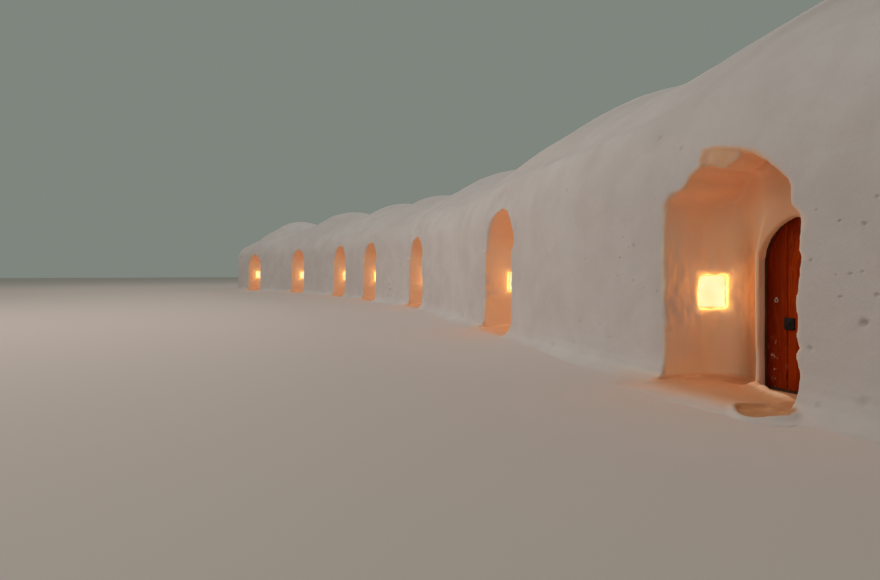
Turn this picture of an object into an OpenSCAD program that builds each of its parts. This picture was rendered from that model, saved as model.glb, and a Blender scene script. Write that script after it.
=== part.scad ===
// Row of seven snow igloo rooms merged into one long, gently curved mass of
// blown snow.  Each bay has an arched porch niche cut in the front face, an
// arched plank door at the back of the niche, a small square lit window in the
// niche's far side wall and a round domed room behind.
// Units are millimetres, +Z is up.  The front face looks towards -Y, bay 1 is
// at the +X end and bay 7 at the -X end.

/* [Snow mass] */
// Thickness of the packed snow floor in the rooms
floor_t = 30; // [30:5:60]
// Height of the packed snow floor in the porch niches
niche_floor = 20; // [15:5:25]
// Clear height of the rooms above the ground
room_h = 2600; // [2300:50:2800]
// Wall of snow between the front face and the rooms
front_wall = 1450; // [1350:50:1600]

/* [Porch niche] */
// Half of the clear width of a niche
niche_hw = 725; // [690:5:760]
// Height at which the round arch of a niche begins
niche_spring = 1450; // [1300:10:1500]
// Depth of a niche from the front face to the door wall
niche_d = 450; // [430:10:480]
// Depth of a niche beside the door wall, where its far side is round
apse_d = 800; // [760:10:850]
// Depth of the door opening from the door wall to the leaf
jamb_d = 150; // [120:10:160]

/* [Door] */
// Distance of the door's middle from the niche's middle
door_c = 325; // [315:5:330]
// Half of the door leaf's width
leaf_hw = 360; // [345:5:365]
// Radius of the leaf's pointed arch
leaf_r = 440; // [430:10:480]
// Height at which the leaf's arch begins
leaf_spring = 1170; // [1050:10:1180]
// Thickness of the door leaf
leaf_t = 50; // [40:5:60]
// Gap between the leaf and its frame
leaf_gap = 10; // [8:1:14]

/* [Window] */
// Clear width of a window hole
win_w = 290; // [260:10:320]
// Clear height of a window hole
win_h = 350; // [300:10:400]
// Height of a window's sill above the ground
win_z = 715; // [650:5:800]
// Thickness of the ice pane
pane_t = 60; // [40:5:80]

/* [Hidden] */
$fn = 64;
plan_shift = [492, -3895];
// middle of each niche on the front line, bay 1 to bay 7
door_p = [[15600, 0], [10150, 900], [2700, 2400], [-1850, 2400],
          [-5750, 2300], [-11050, 1550], [-15600, 0]];
// turn of each bay about the vertical
door_a = [-2, -11, -7, 1, 5, 13, 19];
// crown height of the snow over each room, and of the dips between rooms
crest = [4350, 4300, 4200, 4100, 4150, 4250, 4050];
dip = [4080, 3850, 3850, 3900, 3920, 3680];
dip_near = 4200;
dip_far = 3350;
// length of the half bay and of the rounded slope at each end of the row
near_half = 2200;
near_slope = 1500;
far_half = 1800;
far_slope = 2000;
// radius of each room and how far its middle is moved from the niche's middle
room_r = [1900, 2000, 1800, 1600, 1600, 1800, 1600];
room_x = [-300, -300, -300, -100, -300, -250, -50];
// arch height correction of each niche
arch_dz = [0, 0, -40, -20, 0, 0, -150];
// cross section of the mass, from the foot of the front to the foot of the
// back: distance behind the front line, and height
sect = [[0, 0], [0, 700], [5, 1400], [20, 2000], [120, 2400], [330, 2750],
        [640, 3060], [980, 3320], [1330, 3530], [1800, 3820], [2300, 4070],
        [2800, 4200], [3300, 4190], [3850, 4040], [4350, 3740], [4800, 3300],
        [5180, 2740], [5480, 2120], [5720, 1450], [5880, 750], [5960, 0]];
K = len(sect);
keep_h = 2000;      // below this height the section does not follow the crown
mid_d = 3000;       // the end slopes close in on this depth
steps = 12;         // stations in a bay
trim = 0.00006;     // joint between bays, as a share of a bay: 0.2 to 0.5 mm

function lerp(a, b, t) = a + (b - a) * t;
function dirx(a) = [cos(a), sin(a)];
function nrm(a) = [-sin(a), cos(a)];
function door(i) = door_p[i] + plan_shift;
function clampi(i) = min(5, max(0, floor(i)));
// front line: one cubic between neighbouring doors, straight past the ends
function h3(p0, m0, p1, m1, t) =
    (2*t*t*t - 3*t*t + 1) * p0 + (t*t*t - 2*t*t + t) * m0 +
    (3*t*t - 2*t*t*t) * p1 + (t*t*t - t*t) * m1;
function h3d(p0, m0, p1, m1, t) =
    (6*t*t - 6*t) * p0 + (3*t*t - 4*t + 1) * m0 +
    (6*t - 6*t*t) * p1 + (3*t*t - 2*t) * m1;
function chord(i) = norm(door(i + 1) - door(i));
function front_p(u) =
    u < 0 ? door(0) - u * 2 * near_half * dirx(door_a[0]) :
    u > 6 ? door(6) - (u - 6) * 2 * far_half * dirx(door_a[6]) :
    let (i = clampi(u), c = chord(i))
    h3(door(i), -c * dirx(door_a[i]), door(i + 1), -c * dirx(door_a[i + 1]), u - i);
function front_a(u) =
    u <= 0 ? door_a[0] : u >= 6 ? door_a[6] :
    let (i = clampi(u), c = chord(i),
         v = h3d(door(i), -c * dirx(door_a[i]), door(i + 1), -c * dirx(door_a[i + 1]), u - i))
    atan2(-v[1], -v[0]);
// crown height along the row: a hump over each room, a dip between rooms
function bump(t) = (1 - cos(360 * t)) / 2;
function crown(u) =
    u < 0 ? lerp(crest[0], dip_near, bump(max(u, -0.5))) :
    u > 6 ? lerp(crest[6], dip_far, bump(min(u - 6, 0.5))) :
    let (i = clampi(u), t = u - i)
    t < 0.5 ? lerp(crest[i], dip[i], bump(t)) : lerp(crest[i + 1], dip[i], bump(t));
function lift(z, zc) = z < keep_h ? z : keep_h + (z - keep_h) * (zc - keep_h) / (4200 - keep_h);
// one cross section, shrunk by g towards the middle at the ends
function ring(u, g) =
    let (p = front_p(u), a = front_a(u), zc = crown(u))
    [for (q = sect)
        let (d = mid_d + (q[0] - mid_d) * g, xy = p + d * nrm(a))
        [xy[0], xy[1], lift(q[1], zc) * g]];

// closed skin through a list of cross sections
module skin(rings) {
    n = len(rings);
    pts = [for (r = rings) for (q = r) q];
    polyhedron(points = pts, convexity = 6, faces = concat(
        [for (j = [0:n - 2]) for (k = [0:K - 1])
            let (a = j*K + k, b = j*K + (k + 1) % K, c = (j + 1)*K + (k + 1) % K, d = (j + 1)*K + k)
            each [[a, b, c], [a, c, d]]],
        [[for (k = [0:K - 1]) K - 1 - k]],
        [[for (k = [0:K - 1]) (n - 1)*K + k]]));
}
// a bay stops a hair short of its party planes, so neighbours don't share volume
module mass(u0, u1) {
    skin([for (j = [0:steps]) ring(u0 + trim + (u1 - u0 - 2 * trim) * j / steps, 1)]);
}
module at_bay(i) {
    translate([door(i)[0], door(i)[1], 0]) rotate([0, 0, door_a[i]]) children();
}

// pointed arch outline: half width, foot, spring line, radius, all grown by g
module arch2d(hw, z0, zs, r, g) {
    translate([-hw - g, z0]) square([2 * (hw + g), zs - z0]);
    intersection() {
        translate([r - hw, zs]) circle(r = r + g);
        translate([hw - r, zs]) circle(r = r + g);
        translate([-hw - g, zs]) square([2 * (hw + g), 2 * r]);
    }
}
// the same outline set across the bay, from depth y0 to y1
module arch_block(y0, y1, hw, z0, zs, r, g) {
    translate([door_c, y1, 0]) rotate([90, 0, 0])
        linear_extrude(height = y1 - y0) arch2d(hw, z0, zs, r, g);
}
// a round headed tunnel of half width hw
module vault(y0, y1, xc, hw, z0, zs) {
    translate([xc, y1, 0]) rotate([90, 0, 0]) linear_extrude(height = y1 - y0) {
        translate([-hw, z0]) square([2 * hw, zs - z0]);
        intersection() {
            translate([0, zs]) circle(r = hw);
            translate([-hw, zs]) square([2 * hw, hw]);
        }
    }
}

// where the leaf, its stop and its hinge line stand in the bay
leaf_y = niche_d + jamb_d;
hinge_x = door_c + leaf_hw + 12;
hinge_y = leaf_y + leaf_t + 15;
frame_y = leaf_y + leaf_t - 5;
// the niche's far side wall is round in plan
apse_c = [-100, 250];
apse_r = 660;
// middle of the window on that wall and the way it faces
win_a = 147;
win_p = apse_c + apse_r * dirx(win_a);

// the door wall stands forward on the near side of the niche; its far flank
// runs back to the round wall
module niche(i) {
    intersection() {
        vault(-900, apse_d, 0, niche_hw, niche_floor, niche_spring + arch_dz[i]);
        linear_extrude(height = 3000) difference() {
            union() {
                translate(apse_c) circle(r = apse_r);
                polygon([[-niche_hw, -900], [niche_hw, -900], [niche_hw, 0], [niche_hw - 20, niche_d + 30],
                         [-200, niche_d + 30], [-400, 300], [-niche_hw, 0]]);
            }
            polygon([[-30, niche_d], [900, niche_d], [900, 1100], [-327, 1100], [-327, 850]]);
        }
    }
}
module doorway() {
    arch_block(niche_d - 50, leaf_y - 40, leaf_hw - 15, niche_floor, leaf_spring, leaf_r - 15, 0);
    arch_block(leaf_y - 50, leaf_y + leaf_t, leaf_hw, niche_floor, leaf_spring, leaf_r, 55);
    vault(leaf_y + leaf_t, front_wall + 900, door_c, 500, floor_t, niche_spring);
}
module room(i) {
    r = room_r[i];
    translate([room_x[i], front_wall + r, 0]) {
        translate([0, 0, floor_t]) cylinder(r = r, h = room_h - r - floor_t);
        translate([0, 0, room_h - r]) rotate_extrude() intersection() {
            circle(r = r);
            square([r, r]);
        }
    }
}
module window_hole(i) {
    r = room_r[i];
    s = win_p + 150 * dirx(win_a);
    t = [room_x[i] - r / 2, front_wall + r / 2];
    v = t - s;
    translate([0, 0, win_z]) linear_extrude(height = win_h) {
        translate(win_p) rotate(win_a) translate([-200, -win_w / 2]) square([500, win_w]);
        translate(s) rotate(atan2(v[1], v[0])) translate([0, -win_w / 2]) square([norm(v), win_w]);
    }
}

module snow_bay(i) {
    color([0.84, 0.85, 0.86]) difference() {
        mass(i - 0.5, i + 0.5);
        at_bay(i) {
            niche(i);
            doorway();
            room(i);
            window_hole(i);
        }
    }
}
end_turns = [0, 15, 30, 44, 57, 69, 79, 86];
module snow_end_near() {
    color([0.82, 0.83, 0.84])
        skin([for (k = [len(end_turns) - 1:-1:0]) let (q = end_turns[k])
            ring(-0.5 - near_slope * sin(q) / (2 * near_half), cos(q))]);
}
module snow_end_far() {
    color([0.82, 0.83, 0.84])
        skin([for (q = end_turns)
            ring(6.5 + far_slope * sin(q) / (2 * far_half), cos(q))]);
}

// arched timber frame with a stop, a sill and two hinge pins
hinge_z = [360, 1040];
module door_frame(i) {
    color([0.36, 0.22, 0.13]) at_bay(i) {
        difference() {
            arch_block(leaf_y - 50, frame_y, leaf_hw, niche_floor, leaf_spring, leaf_r, 55);
            arch_block(leaf_y - 80, leaf_y + leaf_t + 50, leaf_hw - 15, floor_t, leaf_spring, leaf_r - 15, 0);
            arch_block(leaf_y - 7, leaf_y + leaf_t + 50, leaf_hw, floor_t, leaf_spring, leaf_r, leaf_gap);
        }
        for (z = hinge_z) {
            translate([hinge_x + 8, frame_y - 2, z - 60]) cube([30, 15, 25]);
            translate([hinge_x, leaf_y + leaf_t + 7, z - 50]) cube([30, 16, 15]);
            translate([hinge_x, hinge_y, z - 50]) cylinder(r = 9, h = 15);
            translate([hinge_x, hinge_y, z - 50]) cylinder(r = 7, h = 95);
        }
    }
}
module door_leaf(i) {
    color([0.33, 0.17, 0.11]) at_bay(i)
        arch_block(leaf_y, leaf_y + leaf_t, leaf_hw, floor_t + leaf_gap, leaf_spring, leaf_r, 0);
}
// two strap hinges on the inner face, each with an eye round its pin
module door_straps(i) {
    color([0.12, 0.12, 0.13]) at_bay(i) for (z = hinge_z) difference() {
        union() {
            translate([hinge_x - 330, leaf_y + leaf_t, z - 25]) cube([330, 6, 50]);
            translate([hinge_x, hinge_y, z - 30]) cylinder(r = 14, h = 60);
        }
        translate([hinge_x, hinge_y, z - 31]) cylinder(r = 8, h = 62);
    }
}
// black lock plate with a pull, and a small ring to its left
module door_lock(i) {
    color([0.05, 0.05, 0.05]) at_bay(i) {
        translate([148, leaf_y - 16, 576]) cube([95, 16, 106]);
        translate([195, leaf_y - 16, 628]) rotate([90, 0, 0]) cylinder(r = 17, h = 12);
        translate([66, leaf_y, 832]) rotate([90, 0, 0]) difference() {
            cylinder(r = 20, h = 8);
            translate([0, 0, -1]) cylinder(r = 11, h = 10);
        }
    }
}
module window_pane(i) {
    color([1, 0.86, 0.6]) at_bay(i)
        translate([win_p[0], win_p[1], win_z]) rotate([0, 0, win_a])
            translate([60, -win_w / 2, 0]) cube([pane_t, win_w, win_h]);
}

snow_bay(0);  // snow_bay_1
snow_bay(1);  // snow_bay_2
snow_bay(2);  // snow_bay_3
snow_bay(3);  // snow_bay_4
snow_bay(4);  // snow_bay_5
snow_bay(5);  // snow_bay_6
snow_bay(6);  // snow_bay_7
snow_end_near();
snow_end_far();
door_frame(0);  // door_frame_1
door_frame(1);  // door_frame_2
door_frame(2);  // door_frame_3
door_frame(3);  // door_frame_4
door_frame(4);  // door_frame_5
door_frame(5);  // door_frame_6
door_frame(6);  // door_frame_7
door_leaf(0);  // door_leaf_1
door_leaf(1);  // door_leaf_2
door_leaf(2);  // door_leaf_3
door_leaf(3);  // door_leaf_4
door_leaf(4);  // door_leaf_5
door_leaf(5);  // door_leaf_6
door_leaf(6);  // door_leaf_7
door_straps(0);  // door_straps_1
door_straps(1);  // door_straps_2
door_straps(2);  // door_straps_3
door_straps(3);  // door_straps_4
door_straps(4);  // door_straps_5
door_straps(5);  // door_straps_6
door_straps(6);  // door_straps_7
door_lock(0);  // door_lock_1
door_lock(1);  // door_lock_2
door_lock(2);  // door_lock_3
door_lock(3);  // door_lock_4
door_lock(4);  // door_lock_5
door_lock(5);  // door_lock_6
door_lock(6);  // door_lock_7
window_pane(0);  // window_pane_1
window_pane(1);  // window_pane_2
window_pane(2);  // window_pane_3
window_pane(3);  // window_pane_4
window_pane(4);  // window_pane_5
window_pane(5);  // window_pane_6
window_pane(6);  // window_pane_7
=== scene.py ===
"""Looks for the row of snow igloos: carved snow, plank doors, lit ice windows."""

import bpy
import bmesh
import math
import numpy as np
from mathutils import Vector, Matrix

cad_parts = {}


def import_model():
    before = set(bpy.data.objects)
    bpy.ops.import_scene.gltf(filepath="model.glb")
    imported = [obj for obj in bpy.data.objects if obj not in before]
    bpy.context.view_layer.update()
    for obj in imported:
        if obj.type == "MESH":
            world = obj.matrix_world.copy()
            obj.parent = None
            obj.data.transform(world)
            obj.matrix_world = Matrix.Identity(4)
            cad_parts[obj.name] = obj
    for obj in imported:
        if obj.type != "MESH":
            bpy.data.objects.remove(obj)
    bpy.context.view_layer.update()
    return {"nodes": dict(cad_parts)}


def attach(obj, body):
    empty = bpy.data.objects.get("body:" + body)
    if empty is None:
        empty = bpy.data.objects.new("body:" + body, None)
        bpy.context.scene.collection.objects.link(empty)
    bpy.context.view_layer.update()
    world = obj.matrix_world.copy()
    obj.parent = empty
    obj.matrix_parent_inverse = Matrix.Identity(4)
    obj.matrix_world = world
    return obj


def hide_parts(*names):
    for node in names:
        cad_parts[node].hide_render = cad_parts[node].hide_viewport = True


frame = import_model()
NODES = frame["nodes"]
F32 = np.float32

# ---------------------------------------------------------------- camera
CAM_AT = Vector((19.742, -8.316, 1.1))
LOOK = Vector((-0.9079, 0.4192, 0.0)).normalized()
cam_data = bpy.data.cameras.new("camera")
cam = bpy.data.objects.new("camera", cam_data)
bpy.context.scene.collection.objects.link(cam)
cam.location = CAM_AT
cam.rotation_euler = LOOK.to_track_quat("-Z", "Y").to_euler()
cam_data.sensor_width = 36
cam_data.lens = 24.01
cam_data.shift_y = -0.0216
cam_data.clip_start = 0.05
cam_data.clip_end = 300
bpy.context.scene.camera = cam

# ---------------------------------------------------------------- the row's plan
SHIFT = np.array([0.492, -3.895])
DOOR = np.array([[15.600, 0], [10.150, .900], [2.700, 2.400], [-1.850, 2.400],
                 [-5.750, 2.300], [-11.050, 1.550], [-15.600, 0]]) + SHIFT
ANG = np.radians([-2, -11, -7, 1, 5, 13, 19.0])
CREST = np.array([4.35, 4.3, 4.2, 4.1, 4.15, 4.25, 4.05])
DIP = np.array([4.08, 3.85, 3.85, 3.9, 3.92, 3.68])
DIP_NEAR, DIP_FAR = 4.2, 3.35
NEAR_HALF, NEAR_SLOPE, FAR_HALF, FAR_SLOPE = 2.2, 1.5, 1.8, 2.0
ROOM_R = [1.9, 2.0, 1.8, 1.6, 1.6, 1.8, 1.6]
ROOM_X = [-.3, -.3, -.3, -.1, -.3, -.25, -.05]
ARCH_DZ = [0, 0, -.04, -.02, 0, 0, -.15]
DOOR_C, LEAF_HW, LEAF_R, LEAF_SPRING = .325, .36, .44, 1.17
DOOR_WALL, LEAF_Y, LEAF_T, WALL = .45, .60, .05, 1.45
SECT = np.array([[0, 0], [0, .7], [.005, 1.4], [.02, 2.0], [.12, 2.4], [.33, 2.75], [.64, 3.06],
                 [.98, 3.32], [1.33, 3.53], [1.8, 3.82], [2.3, 4.07], [2.8, 4.2], [3.3, 4.19],
                 [3.85, 4.04], [4.35, 3.74], [4.8, 3.3], [5.18, 2.74], [5.48, 2.12], [5.72, 1.45],
                 [5.88, .75], [5.96, 0]])
AX = np.stack([np.cos(ANG), np.sin(ANG)], 1)
CHORD = np.linalg.norm(DOOR[1:] - DOOR[:-1], axis=1)


def front(u):
    """Points of the front line and its headings, for row stations u (0 at niche 1, 6 at niche 7)."""
    u = np.atleast_1d(np.asarray(u, float))
    i = np.clip(np.floor(u), 0, 5).astype(int)
    t = (u - i)[:, None]
    c = CHORD[i][:, None]
    p0, p1, m0, m1 = DOOR[i], DOOR[i + 1], -c * AX[i], -c * AX[i + 1]
    p = (2*t**3 - 3*t*t + 1)*p0 + (t**3 - 2*t*t + t)*m0 + (3*t*t - 2*t**3)*p1 + (t**3 - t*t)*m1
    v = (6*t*t - 6*t)*p0 + (3*t*t - 4*t + 1)*m0 + (6*t - 6*t*t)*p1 + (3*t*t - 2*t)*m1
    a = np.arctan2(-v[:, 1], -v[:, 0])
    lo, hi = u < 0, u > 6
    p[lo] = DOOR[0] - u[lo][:, None] * 2 * NEAR_HALF * AX[0]
    a[lo] = ANG[0]
    p[hi] = DOOR[6] - (u[hi][:, None] - 6) * 2 * FAR_HALF * AX[6]
    a[hi] = ANG[6]
    return p, a


def bump(t):
    return (1 - np.cos(2 * np.pi * t)) / 2


def crown(u):
    u = np.atleast_1d(np.asarray(u, float))
    i = np.clip(np.floor(u), 0, 5).astype(int)
    t = u - i
    z = np.where(t < .5, CREST[i] + (DIP[i] - CREST[i]) * bump(t), CREST[i+1] + (DIP[i] - CREST[i+1]) * bump(t))
    z = np.where(u < 0, CREST[0] + (DIP_NEAR - CREST[0]) * bump(np.maximum(u, -.5)), z)
    z = np.where(u > 6, CREST[6] + (DIP_FAR - CREST[6]) * bump(np.minimum(u - 6, .5)), z)
    return z


def local(i, X, Y):
    """Row frame to the straight frame of bay i."""
    c, s = math.cos(ANG[i]), math.sin(ANG[i])
    dx, dy = X - DOOR[i][0], Y - DOOR[i][1]
    return dx * c + dy * s, -dx * s + dy * c


def world(i, x, y, z=0.0):
    c, s = math.cos(ANG[i]), math.sin(ANG[i])
    return Vector((DOOR[i][0] + x * c - y * s, DOOR[i][1] + x * s + y * c, z))


# ---------------------------------------------------------------- field tools
def smax(a, b, k):
    h = np.maximum(k - np.abs(a - b), 0) / k
    return np.maximum(a, b) + h * h * k * .25


def smin(a, b, k):
    h = np.maximum(k - np.abs(a - b), 0) / k
    return np.minimum(a, b) - h * h * k * .25


def sstep(a, b, x):
    t = np.clip((x - a) / (b - a), 0, 1)
    return t * t * (3 - 2 * t)


class Lattice:
    """Smooth noise from a seeded random lattice, turned so that it follows no axis."""

    def __init__(self, seed, n=48):
        rs = np.random.RandomState(seed)
        self.n = n
        self.t = rs.uniform(-1, 1, (n, n, n)).astype(F32).ravel()
        self.r = np.linalg.qr(rs.normal(size=(3, 3)))[0].astype(F32)

    def __call__(self, P, cell):
        q = (P.astype(F32) @ self.r) * F32(1 / cell) + F32(1000)
        b = np.floor(q)
        f = q - b
        f = f * f * (3 - 2 * f)
        b = b.astype(np.int64) % self.n
        c = (b + 1) % self.n
        n = self.n
        out = 0
        for dx in (0, 1):
            wx = f[:, 0] if dx else 1 - f[:, 0]
            ix = (c if dx else b)[:, 0] * n
            for dy in (0, 1):
                wy = f[:, 1] if dy else 1 - f[:, 1]
                iy = (ix + (c if dy else b)[:, 1]) * n
                for dz in (0, 1):
                    wz = f[:, 2] if dz else 1 - f[:, 2]
                    out = out + wx * wy * wz * self.t[iy + (c if dz else b)[:, 2]]
        return out


N1, N2, N3, N4, N5, N6 = (Lattice(s) for s in (11, 23, 37, 51, 67, 83))


def catmull(pts, per=24):
    """Dense smooth curve through points, with its ends kept."""
    p = np.vstack([2*pts[0] - pts[1], pts, 2*pts[-1] - pts[-2]])
    out = []
    for k in range(1, len(p) - 2):
        t = np.linspace(0, 1, per, endpoint=False)[:, None]
        a, b, c, d = p[k-1], p[k], p[k+1], p[k+2]
        out.append(.5*((2*b) + (-a + c)*t + (2*a - 5*b + 4*c - d)*t*t + (-a + 3*b - 3*c + d)*t**3))
    out.append(p[-2][None])
    return np.vstack(out)


class Plate:
    """Signed distance to a closed outline, kept on a fine table (negative inside)."""

    def __init__(self, poly, lo, hi, h):
        self.lo, self.h = np.array(lo, float), h
        nx, ny = (int(math.ceil((hi[k] - lo[k]) / h)) + 1 for k in (0, 1))
        X, Y = np.meshgrid(lo[0] + h*np.arange(nx), lo[1] + h*np.arange(ny), indexing="ij")
        best = np.full(X.shape, 1e9)
        odd = np.zeros(X.shape, bool)
        poly = np.asarray(poly, float)
        for k in range(len(poly)):
            a, b = poly[k], poly[(k + 1) % len(poly)]
            e = b - a
            L = e @ e
            if L < 1e-14:
                continue
            t = np.clip(((X - a[0])*e[0] + (Y - a[1])*e[1]) / L, 0, 1)
            dx, dy = X - a[0] - t*e[0], Y - a[1] - t*e[1]
            np.minimum(best, dx*dx + dy*dy, out=best)
            if a[1] != b[1]:
                cross = ((a[1] > Y) != (b[1] > Y)) & (X < (b[0]-a[0])*(Y-a[1])/(b[1]-a[1]) + a[0])
                odd ^= cross
        self.t = (np.sqrt(best) * np.where(odd, -1, 1)).astype(F32)

    def __call__(self, x, y):
        nx, ny = self.t.shape
        fx = np.clip((x - self.lo[0]) / self.h, 0, nx - 1.001)
        fy = np.clip((y - self.lo[1]) / self.h, 0, ny - 1.001)
        i, j = fx.astype(np.int32), fy.astype(np.int32)
        fx, fy = (fx - i).astype(F32), (fy - j).astype(F32)
        t = self.t
        return ((t[i, j]*(1-fx) + t[i+1, j]*fx)*(1-fy) + (t[i, j+1]*(1-fx) + t[i+1, j+1]*fx)*fy)


# cross section of the mass, with a low drift along both feet
_s = catmull(SECT[1:-1])
_front_foot = np.array([[-.27, -.6], [-.27, 0], [-.17, .016], [-.10, .045], [-.05, .095], [-.02, .18], [-.005, .32], [0, .5]])
_back_foot = np.array([[5.90, .55], [5.93, .3], [5.96, .15], [6.01, .06], [6.09, 0], [6.09, -.6]])
SECTION = Plate(np.vstack([_front_foot, _s, _back_foot]), (-.9, -.2), (6.9, 4.9), .02)


def outline_niche(i):
    """Front outline of a niche, (x, z)."""
    dz = ARCH_DZ[i]
    if i == 0:
        return [(-.686, -.5), (-.686, 0), (-.706, .51), (-.724, .81), (-.731, 1.21), (-.720, 1.51), (-.706, 1.75),
                (-.664, 1.80), (-.613, 1.83), (-.520, 1.86), (-.448, 1.89), (-.408, 1.94), (-.387, 1.98), (-.336, 2.02),
                (-.282, 2.05), (-.257, 2.09), (-.268, 2.14), (-.246, 2.18), (-.257, 2.21), (-.18, 2.21), (-.08, 2.20),
                (.06, 2.165), (.18, 2.135), (.30, 2.095), (.375, 2.045), (.447, 1.995), (.51, 1.94), (.57, 1.885),
                (.612, 1.83), (.637, 1.765), (.646, 1.685), (.655, 1.62), (.695, 1.58), (.718, 1.55), (.756, 1.495),
                (.722, 1.42), (.708, 1.38), (.697, 1.25), (.733, 1.205), (.697, 1.155), (.690, 1.01), (.670, .815),
                (.694, .64), (.676, .56), (.727, .51), (.682, .474), (.687, .40), (.732, .275), (.741, .13), (.727, .07),
                (.718, 0), (.715, -.5)]
    hw, zs = .725, 1.45 + dz
    pts = [(-hw, -.5)]
    rs = np.random.RandomState(100 + i)
    w = rs.uniform(-1, 1, 40)
    for k in range(12):
        z = .15 + (zs - .15) * k / 12
        pts.append((-hw + .012 * w[k], z))
    for k in range(17):
        a = math.pi - math.pi * k / 16
        r = hw * (1 + .02 * w[12 + k % 9] * math.sin(a))
        pts.append((r * math.cos(a), zs + r * math.sin(a) * (1.0 + .03 * w[30])))
    for k in range(12):
        z = zs - (zs - .15) * (k + 1) / 12
        pts.append((hw - .02 + .022 * w[22 + k % 14], z))
    pts.append((hw, -.5))
    return pts


def arch_outline(hw, z0, zs, r, n=24):
    pts = [(-hw, z0), (-hw, zs)]
    a1 = math.acos((r - hw) / r)
    for k in range(1, n + 1):
        a = a1 * k / n
        pts.append((-(r*math.cos(a) - (r - hw)), zs + r*math.sin(a)))
    for k in range(n - 1, -1, -1):
        a = a1 * k / n
        pts.append((r*math.cos(a) - (r - hw), zs + r*math.sin(a)))
    pts.append((hw, z0))
    return pts


APSE_C, APSE_R, WIN_A = (-.1, .25), .66, math.radians(147)
WIN_P = (APSE_C[0] + APSE_R*math.cos(WIN_A), APSE_C[1] + APSE_R*math.sin(WIN_A))
WIN_W, WIN_H, WIN_Z = .29, .35, .715


def plan_niche():
    """Plan of a niche: a round far side, and the door wall standing forward on the near side."""
    ring = []
    for k in range(-40, 41):
        a = math.pi + k / 40 * math.radians(118)
        ring.append((APSE_C[0] + APSE_R*math.cos(a), APSE_C[1] + APSE_R*math.sin(a)))
    ring = [p for p in ring if p[1] > -.05 and p[1] < .735 and p[0] < -.2]
    ring.sort(key=lambda p: p[1])
    low = [(-.50, .765), (-.43, .785), (-.345, .775), (-.268, .735), (-.203, .66), (-.128, .56), (-.056, .480), (-.022, DOOR_WALL)]
    high = [(-.50, .765), (-.42, .76), (-.30, .715), (-.15, .625), (.02, .545), (.22, .48), (.42, DOOR_WALL)]
    far = [(-.50, .765), (-.43, .785), (-.345, .775), (-.275, .735), (-.218, .66), (-.150, .56), (-.070, .480), (-.022, DOOR_WALL)]
    return [[(-.735, -1.2), (-.735, -.02)] + ring + back + [(.705, DOOR_WALL), (.722, 0), (.722, -1.2)] for back in (low, high, far)]


PLAN, PLAN_TOP, PLAN_FAR = (Plate(q, (-1.4, -1.4), (1.4, 1.5), .01) for q in plan_niche())
STOP = Plate(arch_outline(LEAF_HW - .032, -.3, LEAF_SPRING, LEAF_R - .032), (-.9, -.4), (.9, 2.1), .01)
POCKET = Plate(arch_outline(LEAF_HW + .055, -.3, LEAF_SPRING, LEAF_R + .055), (-.9, -.4), (.9, 2.1), .01)
# roof of the near niche behind its broken lip: lower at the far shoulder
LIP = Plate([(-.78, -.5), (-.78, 1.72), (-.745, 1.775), (-.70, 1.845), (-.62, 1.885), (-.51, 1.95), (-.455, 2.03),
             (-.40, 2.085), (-.34, 2.09), (-.19, 2.055), (-.01, 2.02), (.07, 2.05), (.15, 2.12), (.25, 2.24), (.40, 2.4),
             (1.2, 2.4), (1.2, -.5)], (-1.5, -.7), (1.5, 2.9), .01)
# hollow trodden in the drift in front of the near niche
TREAD = Plate([(.338, -.229), (.398, -.087), (.473, .047), (.533, .142), (.600, .190), (.655, .13), (.706, .03),
               (.775, -.117), (.825, -.264), (.785, -.365), (.722, -.47), (.642, -.50), (.532, -.45), (.43, -.36)],
              (-1.5, -1.5), (1.6, 1.0), .01)
# low bank of snow swept aside from the door's threshold: x, y, height
BANK = np.array([[-.06, .462, .050], [-.02, .44, .062], [.085, .387, .066], [.248, .272, .060], [.381, .227, .052],
                 [.481, .20, .044], [.569, .15, .037], [.63, .135, .028]])


def bank(x, y, k=1.0):
    """Height of the bank at points of the niche floor."""
    best = np.full(x.shape, 1e9)
    h = np.zeros(x.shape)
    side = np.zeros(x.shape)
    for a, b in zip(BANK[:-1], BANK[1:]):
        e = b[:2] - a[:2]
        t = np.clip(((x - a[0])*e[0] + (y - a[1])*e[1]) / (e @ e), 0, 1)
        dx, dy = x - a[0] - t*e[0], y - a[1] - t*e[1]
        d = np.hypot(dx, dy)
        m = d < best
        best[m] = d[m]
        h[m] = (a[2] + (b[2] - a[2])*t)[m]
        side[m] = np.sign(e[0]*dy - e[1]*dx)[m]
    w = np.where(side > 0, .060, .085)
    return k * h * np.exp(-(best / w)**2)


def arch_top_vault(x, z, xc, hw, zs):
    """Distance to a round headed tunnel."""
    dx = np.abs(x - xc)
    side = dx - hw
    top = np.sqrt(dx*dx + np.maximum(z - zs, 0)**2) - hw
    return np.where(z > zs, top, side)


def box2(px, py, c, ang, x0, x1, hw):
    """Distance to a turned rectangle in plan."""
    dx, dy = px - c[0], py - c[1]
    a = dx*math.cos(ang) + dy*math.sin(ang)
    b = -dx*math.sin(ang) + dy*math.cos(ang)
    return np.maximum(np.maximum(x0 - a, a - x1), np.abs(b) - hw)


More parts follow.
